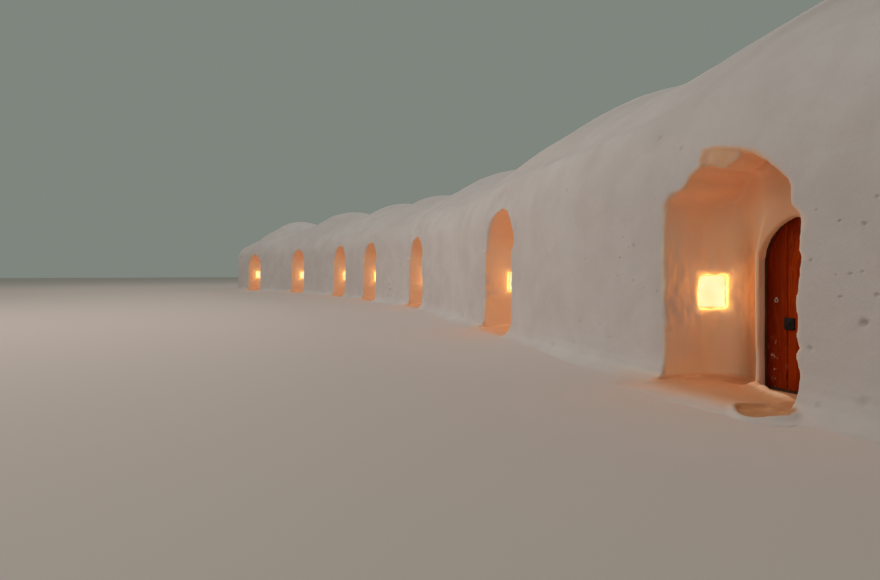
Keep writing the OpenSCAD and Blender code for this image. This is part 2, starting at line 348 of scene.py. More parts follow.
# hollows and scuffs on the faces: bay, x along the bay, height, radius, depth
PITS = [(0, 1.182, .735, .036, .030), (0, 1.017, 1.462, .015, .012), (0, 1.188, 1.426, .019, .013),
        (0, 1.091, 1.079, .015, .011), (0, 1.171, 1.093, .012, .009), (0, 1.023, .913, .014, .011),
        (0, 1.267, .937, .020, .012), (0, 1.273, 1.610, .018, .010), (0, .847, 1.556, .014, .007),
        (0, .80, .515, .022, .012), (0, .80, 1.180, .020, .010), (0, .99, 1.07, .010, .007),
        (0, 1.45, 1.30, .016, .010), (0, 1.62, .82, .022, .012), (0, 1.86, 1.42, .020, .011),
        (0, 1.55, 1.86, .018, .009), (0, 2.02, 1.02, .024, .012), (0, 1.20, .19, .050, .010), (0, .90, .11, .030, .008),
        (0, -.812, .888, .016, .007), (0, -.919, 2.476, .030, .009), (0, -.549, 2.290, .026, .009),
        (0, -1.182, 1.369, .022, .012), (0, -1.430, 1.244, .024, .009), (0, -1.473, 1.044, .020, .008),
        (0, -1.182, .993, .018, .008), (0, -1.019, .923, .016, .008), (0, -1.375, 1.464, .014, .006),
        (0, -1.268, 1.352, .014, .008), (0, -2.182, 1.248, .022, .006), (0, -2.309, .460, .034, .007),
        (0, -1.835, .465, .028, .006), (0, -1.629, .335, .026, .006), (0, -2.444, .180, .040, .007),
        (1, 1.853, 1.921, .022, .006), (1, 2.211, 1.299, .024, .006), (1, 2.390, .697, .022, .006),
        (1, 2.182, 1.071, .026, .007), (1, 2.519, .087, .040, .008), (1, 2.769, 2.176, .026, .007),
        (1, -1.375, .153, .060, .016), (1, -2.180, .133, .070, .018), (1, -1.9, 1.35, .040, .010),
        (1, -1.3, 1.7, .035, .009), (2, 2.3, 1.1, .05, .014), (2, 1.7, .4, .08, .02), (2, -1.5, 1.3, .05, .014),
        (3, 2.075, .447, .075, .034), (3, 1.886, .234, .065, .030), (3, 1.980, .617, .060, .030), (3, 2.2, .25, .05, .022),
        (4, 1.5, .9, .05, .014), (4, -1.7, .5, .06, .016), (5, 1.6, .6, .06, .016), (5, -1.5, 1.2, .05, .014),
        (6, 1.3, .7, .06, .016), (6, -1.3, 1.0, .05, .014)]


def room_skin(i, x, y, z):
    """Distance to the skin of a bay's room; negative is inside the room."""
    rr = np.hypot(x - ROOM_X[i], y - WALL - ROOM_R[i])
    up = np.maximum(z - 2.6 + ROOM_R[i], 0)
    return np.hypot(rr, up) - ROOM_R[i]


def bay_noise(P, wall, deep, fine=1.0):
    """Relief of the snow at points P; wall is 1 on the upright front face and in the niche,
    deep is 1 inside the rooms."""
    n = (.042 - .024*wall - .02*deep) * N1(P, 1.7)
    n += (.017 - .009*wall - .006*deep) * N2(P, .62)
    n += (.0060 - .0018*wall - .002*deep) * N3(P, .23)
    n += .0026 * fine * N4(P, .085)
    scar = np.maximum(.30 - np.abs(N5(P, .47)), 0) * np.maximum(N1(P, .9), 0)
    n -= .034 * fine * scar * (1 - .5*deep)
    return n


def bay_field(i, U, Dv, Z, X, Y, end=0):
    """Field of a bay (or of an end slope) on its grid. Negative is snow."""
    nx, ny, nz = len(U), len(Dv), len(Z)
    zc = crown(U)
    d3 = Dv[None, :, None]
    z3 = Z[None, None, :]
    if end:
        s = (-.5 - U) * 2 * NEAR_HALF / NEAR_SLOPE if end < 0 else (U - 6.5) * 2 * FAR_HALF / FAR_SLOPE
        g = np.sqrt(np.maximum(1 - s*s, 1e-3))[:, None, None]
    else:
        g = np.ones((nx, 1, 1))
    zg = z3 / g
    k = (zc[:, None, None] - 2.0) / 2.2
    z0 = np.where(zg < 2, zg, 2 + (zg - 2) / k)
    dd = 3.0 + (d3 - 3.0) / g
    # the drift along the foot swells and fades along the row
    p, a = front(U)
    wv = N5(np.stack([p[:, 0], p[:, 1], 0*p[:, 0]], 1), 1.3)
    wf = np.interp(U, [-.6, .6, 1.5, 5, 5.8, 6.4], [1.35, 1.35, 1.15, 1.05, .8, .45]) * (.86 + .3*wv)
    dd = np.where(dd < 0, dd / wf[:, None, None], dd)
    dd = np.broadcast_to(dd, (nx, ny, nz))
    z0 = np.broadcast_to(z0, (nx, ny, nz))
    f = SECTION(dd, z0) * g.astype(F32)
    # the blown edge where the upright face ends, with a trough behind it: it climbs the
    # slope over the near niche
    dr = np.interp(U, [-.6, -.3, -.15, -.03, .04, .12, .20, .30, .64, 1.0, 1.5],
                   [2.9, 2.6, 1.95, 1.33, .86, .52, .34, .30, .33, .38, .44])[:, None, None]
    amp = np.interp(U, [-.45, -.25, -.1, .05, .5, .85, 1.2, 1.8], [0, .55, 1, 1, 1, .75, .40, .30])[:, None, None]
    q = dd + .05*wv[:, None, None] - dr
    crease = .050*np.exp(-((q + .10)/.17)**2) - .095*np.exp(-((q - .24)/.25)**2)
    f = f - (crease * amp * sstep(2.30, 2.62, z0) * g).astype(F32)
    f = f.astype(F32)
    X3 = np.broadcast_to(X[:, :, None], f.shape)
    Y3 = np.broadcast_to(Y[:, :, None], f.shape)
    Z3 = np.broadcast_to(z3.astype(F32), f.shape)
    if not end:
        lx2, ly2 = local(i, X, Y)
        lx = np.broadcast_to(lx2[:, :, None].astype(F32), f.shape)
        ly = np.broadcast_to(ly2[:, :, None].astype(F32), f.shape)
        zs = 1.45 + ARCH_DZ[i]
        if i in (1, 2, 3):
            # faint arched hollow in the slope above the niche
            m = (np.abs(lx) < 1.5) & (ly < 1.2) & (Z3 > 1.5) & (f < .1)
            x, y, z = lx[m], ly[m], Z3[m]
            arch = arch_top_vault(x + .03, z, 0, .86, zs + .22)
            face = y - (.0 + .42*np.maximum(z - 2.05, 0))
            f[m] = smax(f[m], -smax(arch, face, .16), .10)
        # niche
        m = (np.abs(lx) < 1.25) & (ly < 1.0) & (ly > -1.0) & (Z3 < 2.6)
        x, y, z = lx[m], ly[m], Z3[m]
        P = np.stack([X3[m], Y3[m], z], 1)
        out = OUTLINE[i]
        rag = N4(P, .06) * .006 + N3(P, .15) * .008
        ragw = np.exp(-(y/.12)**2)
        if i == 0:
            # broken, flaky lip on the far shoulder
            tl = np.exp(-((x + .36)/.20)**2 - ((z - 2.10)/.13)**2) + .8*np.exp(-((x + .60)/.13)**2 - ((z - 1.86)/.09)**2)
            rag = rag + .016 * tl * (N4(P, .045) + N3(P, .09))
            rag = rag + .010 * N4(P, .05) * (x > .5)
            rag = rag + .012*N4(P, .06) * sstep(.42, .60, -x) * sstep(.15, .45, z)
        else:
            # the far jamb is worn round
            rag = rag - .05 * np.exp(-np.maximum(y, 0)/.10) * sstep(.1, .7, -x)
        inset = .03 * sstep(.0, .5, y) * sstep(.9, 1.9, z)
        o = out(x, z) + (rag * ragw).astype(F32) + inset.astype(F32)
        if i == 0:
            lipd = .050 + .015*N3(P, .12)
            o = smax(o, LIP(x, z) + (.010*N4(P, .07) - .35*(1 - sstep(lipd - .02, lipd + .015, y))).astype(F32), .012)
        up = sstep(1.20, 1.72, z)
        pl = (PLAN if i == 0 else PLAN_FAR)(x, y)*(1 - up) + PLAN_TOP(x, y)*up
        if i == 0:
            # wavy, crumbled far edge
            wave = (.026*N3(P, .17) + .016*N4(P, .07)) * sstep(.42, .60, -x) * sstep(.12, .35, z) * np.exp(-(y/.16)**2)
            pl = pl + wave.astype(F32)
        nb = smax(o, pl, .05)
        rough = .5 + .5*N3(P, .5)
        lump = .010*N3(P, .16) + .007*N4(P, .07) + .012*np.maximum(N2(P, .33), 0)
        bk = bank(x, y, 1.0 if i == 0 else .6)
        zf = .024 + bk * (1 + .25*N4(P, .06)) + lump * sstep(-.1, .1, y) * (1 - .7*(np.abs(x - DOOR_C) < .5) * (y > .4))
        zf = zf + .035*np.exp(-((x + .62)/.16)**2) * sstep(-.1, .3, y)
        cut0, cut1 = (-.06, .02) if i == 0 else (-.30, -.05)
        w = sstep(cut0, cut1, y + (.0 if i else .0))
        zf = zf * w - .03 * (1 - w)
        nb = smax(nb, (zf - z).astype(F32), .025)
        soft = (.016 + .034 * sstep(.42, .60, -x) * sstep(.15, .40, z)).astype(F32) if i == 0 else .03
        f[m] = smax(f[m], -nb, soft)
        if i == 0:
            # trodden drift in front of the near niche, with a hollow in it
            m = (lx > -1.3) & (lx < 1.3) & (ly > -.95) & (ly < .30) & (Z3 < .3)
            x, y, z = lx[m], ly[m], Z3[m]
            P = np.stack([X3[m], Y3[m], z], 1)
            n3, n4 = N3(P, .19), N4(P, .075)
            base = .030 * sstep(-.66, -.20, y + .04*n3) * sstep(-1.05, -.55, x) * (1 - sstep(.78, 1.0, x))
            t = TREAD(x, y) + .012*n3
            inner = 1 - sstep(-.035, .0, t)
            rimw = sstep(-.10, -.28, y - .35*(x - .72)) * (x > .3)
            rim = .020 * np.exp(-((t - .012)/.035)**2) * np.clip(rimw + (x > .68), 0, 1)
            za = base * (1 - inner) + rim + .004*n4 * sstep(.004, .02, base + rim)
            za = za + inner * (.006 + .012*np.maximum(N2(P, .11), 0) * sstep(-.02, -.07, t) + .013*np.maximum(n4, 0))
            za = za + .030*np.exp(-((x - .70)**2 + (y + .10)**2)/.0016)
            za = np.where(base + rim + inner < .002, -.05, za)
            f[m] = np.minimum(f[m], ((z - za) * .9).astype(F32))
        # doorway: opening in the door wall, rebate of the frame and passage
        m = (lx > -.6) & (lx < 1.1) & (ly > .3) & (ly < 2.6) & (Z3 < 2.2)
        x, y, z = lx[m], ly[m], Z3[m]
        P = np.stack([X3[m], Y3[m], z], 1)
        st = STOP(x - DOOR_C, z) + (.006*N3(P, .2)).astype(F32)
        st = np.maximum(st, np.maximum(.36 - y, y - .590))
        st = np.maximum(st, (.026 + bank(x, y, 1.0 if i == 0 else .6)) - z)
        pk = np.maximum(POCKET(x - DOOR_C, z), np.maximum(.555 - y, y - .66))
        pk = np.maximum(pk, .024 - z)
        # outside the frame's outline the passage starts a little deeper, on its far side and above
        start = .645 + .055 * sstep(.0, .02, POCKET(x - DOOR_C, z)) * (x < .25)
        tn = np.maximum(arch_top_vault(x, z, DOOR_C, .5, 1.45), np.maximum(start - y, y - 2.35))
        # the passage is narrower just behind the frame
        tn = np.maximum(tn, -.122 - .053*sstep(.80, 1.05, y) - x)
        tn = smax(tn, .026 - z, .01)
        f[m] = smax(f[m], -st.astype(F32), .016)
        f[m] = smax(f[m], -np.minimum(pk, tn).astype(F32), .006)
        # room
        R = ROOM_R[i]
        cx, cy = ROOM_X[i], WALL + R
        m = (np.abs(lx - cx) < R + .3) & (np.abs(ly - cy) < R + .3) & (Z3 < 3.0)
        z = Z3[m]
        rm = smax(room_skin(i, lx[m], ly[m], z), .03 - z, .05)
        f[m] = smax(f[m], -rm.astype(F32), .05)
        # window hole
        m = (lx < .2) & (lx > -2.2) & (ly > .2) & (ly < 3.2) & (Z3 > .5) & (Z3 < 1.3)
        x, y, z = lx[m], ly[m], Z3[m]
        sx, sy = WIN_P[0] + .15*math.cos(WIN_A), WIN_P[1] + .15*math.sin(WIN_A)
        tx, ty = ROOM_X[i] - R/2, WALL + R/2
        va = math.atan2(ty - sy, tx - sx)
        vl = math.hypot(tx - sx, ty - sy)
        w = np.minimum(box2(x, y, WIN_P, WIN_A, -.2, .27, WIN_W/2), box2(x, y, (sx, sy), va, 0, vl, WIN_W/2))
        w = np.maximum(w, np.abs(z - WIN_Z - WIN_H/2) - WIN_H/2)
        f[m] = smax(f[m], -w.astype(F32), .010)
    # relief, only close to the surface
    near = np.abs(f) < .11
    P = np.stack([X3[near], Y3[near], Z3[near]], 1)
    dn = np.broadcast_to(d3, f.shape)[near]
    zz = Z3[near]
    if end:
        wall = np.exp(-(np.maximum(dn, 0)/.35)**2) * (1 - sstep(1.9, 2.6, zz))
        n = bay_noise(P, wall, 0 * wall, .25) * np.broadcast_to(g, f.shape)[near]
        f[near] -= n.astype(F32)
    else:
        x, y = lx[near], ly[near]
        wall = (1 - sstep(.25, .5, dn) * (1 - (np.abs(x) < .95) * (dn < 1.0))) * (1 - sstep(1.9, 2.6, zz))
        deep = (room_skin(i, x, y, zz) < .12).astype(F32)
        span = (1.9, 2.15) if i == 0 else (.9, 1.2)
        n = bay_noise(P, wall, deep, .25 + .75*(1 - sstep(span[0], span[1], np.abs(x))))
        # quiet round the door and along its sweep, at the window hole and on the trodden foot
        q = sstep(.42, .52, np.abs(x - DOOR_C)) + sstep(1.72, 1.85, zz) + (1 - sstep(.44, .50, y)) + sstep(2.4, 2.8, y)
        n = n * np.clip(.10 + q, 0, 1)
        q = box2(x, y, WIN_P, WIN_A, -.02, .4, WIN_W/2 + .01)
        q = np.maximum(q, np.abs(zz - WIN_Z - WIN_H/2) - WIN_H/2 - .01)
        n = n * (.3 + .7*sstep(0, .05, q))
        low = (np.abs(x) < .80 + .25*(i == 0)) * (dn < .50) * (1 - sstep(.05, .22, zz))
        n = n * (1 - .85*low)
        # crumbs round the window
        ring = np.exp(-(np.maximum(q, 0)/.03)**2) * (y > .3) * (y < .8) * (x < -.3) * (q > .004)
        n = n + .014 * ring * np.maximum(N4(P, .045) + .1, 0)
        # upright tool marks on the round far side
        tool = (x < -.25) * (x > -.92) * (y > .03) * (y < .8) * (dn < .9) * sstep(.25, .5, zz) * (1 - sstep(1.3, 1.7, zz))
        n = n + (.012 if i == 0 else .0035) * tool * N6(P * np.array([1, 1, .38], F32), .055)
        f[near] -= n.astype(F32)
    return f


OUTLINE = [Plate(outline_niche(i), (-1.5, -.7), (1.5, 2.9), .01) for i in range(7)]


def nets(f, X, Y, Z):
    """Closed skin of the field: quads, and one flat polygon for each cut plane and the base."""
    f = np.pad(f, ((1, 1), (0, 0), (1, 0)), constant_values=1.0)
    X = np.pad(X, ((1, 1), (0, 0)), mode="edge")
    Y = np.pad(Y, ((1, 1), (0, 0)), mode="edge")
    Z = np.concatenate([Z[:1], Z])
    nx, ny, nz = f.shape
    cells, poss, groups, flips = [], [], [], []
    stride = np.array([ny*nz, nz, 1])
    for ax in range(3):
        sl0 = [slice(None)]*3
        sl1 = [slice(None)]*3
        sl0[ax], sl1[ax] = slice(0, -1), slice(1, None)
        a, b = f[tuple(sl0)], f[tuple(sl1)]
        idx = np.argwhere((a < 0) != (b < 0))
        j = idx.copy()
        j[:, ax] += 1
        fa, fb = f[tuple(idx.T)], f[tuple(j.T)]
        t = fa / (fa - fb)
        pa = np.stack([X[idx[:, 0], idx[:, 1]], Y[idx[:, 0], idx[:, 1]], Z[idx[:, 2]]], 1)
        pb = np.stack([X[j[:, 0], j[:, 1]], Y[j[:, 0], j[:, 1]], Z[j[:, 2]]], 1)
        g = np.zeros(len(idx), int)
        if ax == 0:
            g[idx[:, 0] == 0] = 1
            g[idx[:, 0] == nx - 2] = 2
        if ax == 2:
            g[idx[:, 2] == 0] = 3
        t = np.where(g == 0, t, .5)[:, None]
        pos = pa + (pb - pa) * t
        o1, o2 = [(1, 2), (2, 0), (0, 1)][ax]
        base = idx @ stride
        c = np.stack([base - stride[o1] - stride[o2], base - stride[o2], base, base - stride[o1]], 1)
        ok = (idx[:, o1] > 0) & (idx[:, o2] > 0)
        cells.append(c[ok]); poss.append(pos[ok]); groups.append(g[ok]); flips.append((fa > 0)[ok])
    cells = np.concatenate(cells); pos = np.concatenate(poss)
    grp = np.concatenate(groups); flip = np.concatenate(flips)
    uniq, inv = np.unique(cells.ravel(), return_inverse=True)
    n = len(uniq)
    inv = inv.ravel()
    P4 = np.repeat(pos, 4, axis=0)
    R4 = np.repeat(grp == 0, 4)
    call = np.bincount(inv, minlength=n).astype(float)
    creal = np.bincount(inv, weights=R4, minlength=n)
    V = np.zeros((n, 3))
    for k in range(3):
        sall = np.bincount(inv, weights=P4[:, k], minlength=n) / call
        sreal = np.bincount(inv, weights=P4[:, k]*R4, minlength=n) / np.maximum(creal, 1)
        V[:, k] = np.where(creal > 0, sreal, sall)
    Q = inv.reshape(-1, 4)
    Q[flip] = Q[flip][:, ::-1]
    # each flat group becomes one polygon when its outline is a single loop
    keep = grp == 0
    loops = []
    for g in (1, 2, 3):
        q = Q[grp == g]
        if not len(q):
            continue
        e = np.concatenate([q[:, [k, (k + 1) % 4]] for k in range(4)])
        fwd = set(map(tuple, e.tolist()))
        rest = {a: b for a, b in fwd if (b, a) not in fwd}
        count, found = sum(1 for a, b in fwd if (b, a) not in fwd), []
        ax = (1, 2) if g < 3 else (0, 1)
        while rest:
            cur = next(iter(rest))
            loop = []
            while cur in rest:
                loop.append(cur)
                cur = rest.pop(cur)
            found.append(loop)
        turn = [float(np.sum(V[l][:, ax[0]]*np.roll(V[l][:, ax[1]], -1) - V[l][:, ax[1]]*np.roll(V[l][:, ax[0]], -1))) for l in found]
        if sum(map(len, found)) == count and (min(turn) > 0 or max(turn) < 0):
            loops += [(g, l) for l in found]
        else:
            # an outline inside another one stays as small faces
            keep |= grp == g
    real = Q[grp == 0]
    flats = [Q[keep & (grp == g)] for g in (1, 2, 3)]
    parts, base = [], 0
    quads, polys = [], []

    def take(faces, outlines):
        nonlocal base
        used = np.unique(np.concatenate([np.asarray(faces).ravel()] + [np.array(l) for l in outlines]).astype(int))
        remap = np.full(n, -1)
        remap[used] = base + np.arange(len(used))
        parts.append(V[used])
        base += len(used)
        if len(faces):
            quads.append(remap[faces])
        polys.extend(list(remap[np.array(l)]) for l in outlines)
        return used

    body = take(real, [])
    edge = np.zeros(n, bool)
    for k, g in enumerate((1, 2, 3)):
        outlines = [l for h, l in loops if h == g]
        if len(flats[k]) or outlines:
            edge[take(flats[k], outlines)] = True
    rim = np.ones(base, bool)
    rim[:len(body)] = edge[body]
    return np.vstack(parts), np.concatenate(quads), polys, rim


def mesh_object(name, V, Q, smooth=True, loops=()):
    me = bpy.data.meshes.new(name)
    me.vertices.add(len(V))
    me.vertices.foreach_set("co", np.ascontiguousarray(V, F32).ravel())
    vi = np.concatenate([np.ascontiguousarray(Q, np.int32).ravel()] + [np.array(l, np.int32) for l in loops])
    size = np.concatenate([np.full(len(Q), 4), np.array([len(l) for l in loops], int)]).astype(np.int32)
    me.loops.add(len(vi))
    me.loops.foreach_set("vertex_index", vi)
    me.polygons.add(len(size))
    me.polygons.foreach_set("loop_start", (np.cumsum(size) - size).astype(np.int32))
    me.update(calc_edges=True)
    me.polygons.foreach_set("use_smooth", np.full(len(size), smooth))
    me.validate()
    ob = bpy.data.objects.new(name, me)
    bpy.context.scene.collection.objects.link(ob)
    return ob


def thin(ob, soft, ratio):
    """Fewer faces where soft is set: rooms and the hidden side."""
    vg = ob.vertex_groups.new(name="soft")
    vg.add(np.flatnonzero(soft).tolist(), 1.0, "REPLACE")
    mod = ob.modifiers.new("thin", "DECIMATE")
    mod.ratio = ratio
    mod.vertex_group = "soft"
    mod.vertex_group_factor = 1.0
    dg = bpy.context.evaluated_depsgraph_get()
    me = bpy.data.meshes.new_from_object(ob.evaluated_get(dg))
    old = ob.data
    ob.modifiers.remove(mod)
    ob.vertex_groups.clear()
    ob.data = me
    bpy.data.meshes.remove(old)
    me.name = ob.name


def dent(ob, i):
    """Press the listed marks into the front face, on a locally finer mesh."""
    marks = [(x, z, r, d) for b, x, z, r, d in PITS if b == i]
    if not marks:
        return
    bm = bmesh.new()
    bm.from_mesh(ob.data)
    lay = bm.verts.layers.float.new("painted_pit_shade")
    coarse = 1.0
    for _ in range(4):
        bm.verts.ensure_lookup_table()
        co = np.array([v.co[:] for v in bm.verts])
        lx, ly = local(i, co[:, 0], co[:, 1])
        lim = np.full(len(co), 9.0)
        for px, pz, r, d in marks:
            reach = 2.0*r + .010
            m = (np.abs(lx - px) < reach) & (np.abs(co[:, 2] - pz) < reach) & (ly < .9) & (ly > -.4)
            lim[m] = np.minimum(lim[m], max(.40*r, .0055) * coarse)
        es = {e for k in np.flatnonzero(lim < 9) for e in bm.verts[k].link_edges
              if e.calc_length() > lim[k] and len(e.link_faces) == 2 and all(len(f_.verts) < 12 for f_ in e.link_faces)}
        if not es:
            break
        bmesh.ops.subdivide_edges(bm, edges=list(es), cuts=1, use_grid_fill=True)
    bm.normal_update()
    co = np.array([v.co[:] for v in bm.verts])
    no = np.array([v.normal[:] for v in bm.verts])
    lx, ly = local(i, co[:, 0], co[:, 1])
    nz = N4(co, .035) + .6*N6(co, .016)
    # dark is painted shade inside each mark, kept in a vertex layer for the material
    depth, dark = np.zeros(len(co)), np.zeros(len(co))
    for px, pz, r, d in marks:
        show = min(1.0, (d/.012)**1.3)
        tilt = N2(np.array([[px*3.1, pz*2.7, i*5.0]]), .9)[0]
        ax, az = lx - px, co[:, 2] - pz
        u = ax*math.cos(tilt) + az*math.sin(tilt)
        w = -ax*math.sin(tilt) + az*math.cos(tilt)
        q = np.hypot(u, w*1.25) / (r*(1 + .28*nz))
        m = (q < 2.2) & (ly < .9) & (ly > -.4)
        prof = -1.1*d*np.exp(-q**2*1.1) + .16*d*np.exp(-((q - 1.25)/.30)**2)
        depth += np.where(m, prof, 0)
        dark = np.maximum(dark, np.where(m, show*np.exp(-q**2*1.3), 0))
    co = co + no*depth[:, None]
    bm.verts.ensure_lookup_table()
    for k in np.flatnonzero(depth != 0):
        bm.verts[k].co = co[k]
        bm.verts[k][lay] = dark[k]
    bm.to_mesh(ob.data)
    bm.free()
    ob.data.update()


def lines(parts):
    """Grid lines from (start, stop, first spacing, last spacing) stretches."""
    out = [parts[0][0]]
    for a, b, h0, h1 in parts:
        n = max(1, int(round((b - a) / ((h0 + h1) / 2))))
        w = np.linspace(h0, h1, n)
        w = w * (b - a) / w.sum()
        out.extend(list(a + np.cumsum(w)))
    return np.array(out)


Q = 1.0
DV = lines([(-.46, -.10, .055*Q, .036*Q), (-.10, .90, .034*Q, .034*Q), (.90, 1.7, .04*Q, .08*Q), (1.7, 6.0, .10*Q, .10*Q),
            (6.0, 6.5, .08*Q, .08*Q)])
ZV = lines([(0, .12, .018*Q, .025*Q), (.12, 2.30, .034*Q, .034*Q), (2.30, 2.8, .036*Q, .07*Q), (2.8, 4.62, .08*Q, .08*Q)])
DV1 = lines([(-.85, -.60, .05*Q, .03*Q), (-.60, -.12, .027*Q, .027*Q), (-.12, .14, .019*Q, .019*Q), (.14, .66, .021*Q, .021*Q),
             (.66, .98, .024*Q, .03*Q), (.98, 1.7, .04*Q, .08*Q), (1.7, 6.0, .09*Q, .09*Q), (6.0, 6.5, .08*Q, .08*Q)])
ZV1 = lines([(0, .06, .008*Q, .009*Q), (.06, .14, .011*Q, .018*Q), (.14, 2.28, .0215*Q, .0215*Q), (2.28, 2.8, .024*Q, .05*Q),
             (2.8, 4.62, .06*Q, .08*Q)])


def grid(U, Dv):
    p, a = front(U)
    n = np.stack([-np.sin(a), np.cos(a)], 1)
    return p[:, None, 0] + Dv[None, :]*n[:, None, 0], p[:, None, 1] + Dv[None, :]*n[:, None, 1]


def stations(i):
    """Row stations of a bay, from its far plane to its near one, so that x grows."""
    u = np.linspace(i - .5, i + .5, 2001)
    p, _ = front(u)
    x, _ = local(i, p[:, 0], p[:, 1])
    x0, x1 = x[-1], x[0]
    if i == 0:
        xs = lines([(x0, -.98, .06*Q, .045*Q), (-.98, -.80, .038*Q, .021*Q), (-.80, .80, .019*Q, .019*Q),
                    (.80, .98, .021*Q, .038*Q), (.98, x1, .040*Q, .055*Q)])
    else:
        c, h = (.080*Q, .035*Q) if i == 1 else (.095*Q, .036*Q)
        xs = lines([(x0, -1.15, c, c*.8), (-1.15, -.85, .06*Q, h), (-.85, .85, h, h), (.85, 1.15, h, .055*Q),
                    (1.15, x1, .06*Q, c)])
    us = np.interp(-xs, -x, u)
    us[0], us[-1] = i + .5, i - .5
    return us


SNOW = []
for i in range(7):
    U = stations(i)
    Dv, Zv = (DV1, ZV1) if i < 2 else (DV, ZV)
    X, Y = grid(U, Dv)
    f = bay_field(i, U, Dv, Zv, X, Y)
    V, Qd, loops, rim = nets(f, X, Y, Zv)
    ob = mesh_object("snow_%d" % (i + 1), V, Qd, True, loops)
    x, y = local(i, V[:, 0], V[:, 1])
    soft = ((y > 1.10) & (V[:, 2] < 2.68) & (V[:, 2] > .12)) | (y > 3.3)
    soft &= ~rim
    before = len(Qd)*2
    share = soft.mean()
    cut = .10 if i < 2 else .22
    thin(ob, soft, 1 - share*(1 - cut))
    dent(ob, i)
    SNOW.append((ob, i))
    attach(ob, "root")
    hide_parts("snow_bay_%d" % (i + 1))
    print("bay", i + 1, "grid", f.shape, "triangles", before, "soft share %.2f" % share)
for side, name in ((-1, "near"), (1, "far")):
    L = NEAR_SLOPE if side < 0 else FAR_SLOPE
    q = np.radians(np.concatenate([np.linspace(0, 60, int(14 / Q)), np.linspace(63, 89, int(12 / Q))]))
    if side < 0:
        U = (-.5 - L*np.sin(q)/(2*NEAR_HALF))
    else:
        U = (6.5 + L*np.sin(q)/(2*FAR_HALF))[::-1]
    Dv, Zv = (DV1, ZV1) if side < 0 else (DV, ZV)
    X, Y = grid(U, Dv)
    f = bay_field(0 if side < 0 else 6, U, Dv, Zv, X, Y, end=side)
    V, Qd, loops, rim = nets(f, X, Y, Zv)
    ob = mesh_object("snow_end_%s_slope" % name, V, Qd, True, loops)
    SNOW.append((ob, 0 if side < 0 else 6))
    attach(ob, "root")
    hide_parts("snow_end_%s" % name)


def triangles(me):
    return sum(len(p_.vertices) - 2 for p_ in me.polygons)


counts = [triangles(o.data) for o, _ in SNOW]
print("snow triangles", sum(counts), counts)

# ---------------------------------------------------------------- materials
def material(name):
    m = bpy.data.materials.new(name)
    m.use_nodes = True
    nt = m.node_tree
    for n in list(nt.nodes):
        if n.type != "OUTPUT_MATERIAL":
            nt.nodes.remove(n)
    out = next(n for n in nt.nodes if n.type == "OUTPUT_MATERIAL")
    b = nt.nodes.new("ShaderNodeBsdfPrincipled")
    nt.links.new(b.outputs[0], out.inputs["Surface"])
    return m, nt, b


class Net:
    def __init__(self, nt):
        self.nt = nt

    def node(self, kind, **props):
        n = self.nt.nodes.new(kind)
        for k, v in props.items():
            setattr(n, k, v)
        return n

    def put(self, sock, v):
        if isinstance(v, bpy.types.NodeSocket):
            self.nt.links.new(v, sock)
        elif isinstance(v, (tuple, list)) and len(v) == 3 and sock.type == "RGBA":
            sock.default_value = (*v, 1)
        else:
            sock.default_value = v

    def coords(self):
        return self.node("ShaderNodeTexCoord").outputs["Object"]

    def mapping(self, vec, scale=(1, 1, 1), loc=(0, 0, 0), rot=(0, 0, 0)):
        n = self.node("ShaderNodeMapping")
        self.put(n.inputs["Vector"], vec)
        n.inputs["Scale"].default_value = scale
        n.inputs["Location"].default_value = loc
        n.inputs["Rotation"].default_value = rot
        return n.outputs[0]

    def noise(self, vec, scale, detail=3, rough=.5, dist=0.0):
        n = self.node("ShaderNodeTexNoise")
        self.put(n.inputs["Vector"], vec)
        n.inputs["Scale"].default_value = scale
        n.inputs["Detail"].default_value = detail
        n.inputs["Roughness"].default_value = rough
        n.inputs["Distortion"].default_value = dist
        return n.outputs["Fac"]

    def voronoi(self, vec, scale, rand=1.0, feature="F1"):
        n = self.node("ShaderNodeTexVoronoi", feature=feature)
        self.put(n.inputs["Vector"], vec)
        n.inputs["Scale"].default_value = scale
        n.inputs["Randomness"].default_value = rand
        return n.outputs["Distance"]

    def ramp(self, v, *stops):
        n = self.node("ShaderNodeMapRange", interpolation_type="SMOOTHSTEP")
        self.put(n.inputs["Value"], v)
        n.inputs["From Min"].default_value, n.inputs["From Max"].default_value = stops[0], stops[1]
        n.inputs["To Min"].default_value, n.inputs["To Max"].default_value = (stops[2], stops[3]) if len(stops) > 2 else (0, 1)
        return n.outputs[0]

    def math(self, op, a, b=0.0, clamp=False):
        n = self.node("ShaderNodeMath", operation=op, use_clamp=clamp)
        self.put(n.inputs[0], a)
        self.put(n.inputs[1], b)
        return n.outputs[0]

    def mix(self, fac, a, b, blend="MIX"):
        n = self.node("ShaderNodeMix", data_type="RGBA", blend_type=blend)
        self.put(n.inputs["Factor"], fac)
        self.put(n.inputs[6], a)
        self.put(n.inputs[7], b)
        return n.outputs[2]

    def attr(self, name):
        n = self.node("ShaderNodeAttribute", attribute_name=name)
        return n.outputs["Fac"]

    def bump(self, h, strength, dist, normal=None):
        n = self.node("ShaderNodeBump")
        n.inputs["Strength"].default_value = strength
        n.inputs["Distance"].default_value = dist
        self.put(n.inputs["Height"], h)
        if normal is not None:
            self.put(n.inputs["Normal"], normal)
        return n.outputs[0]


def lin(r, g, b):
    """sRGB 0-255 to linear."""
    return tuple((c/255/12.92 if c/255 <= .04045 else ((c/255 + .055)/1.055)**2.4) for c in (r, g, b))


# the pale and the deep orange of the lamp light painted into the niches' snow, and the strength of its painted glow
PAINTED_LIGHT_PALE, PAINTED_LIGHT_DEEP, GLOW = (.96, .72, .50), (.82, .45, .25), .076


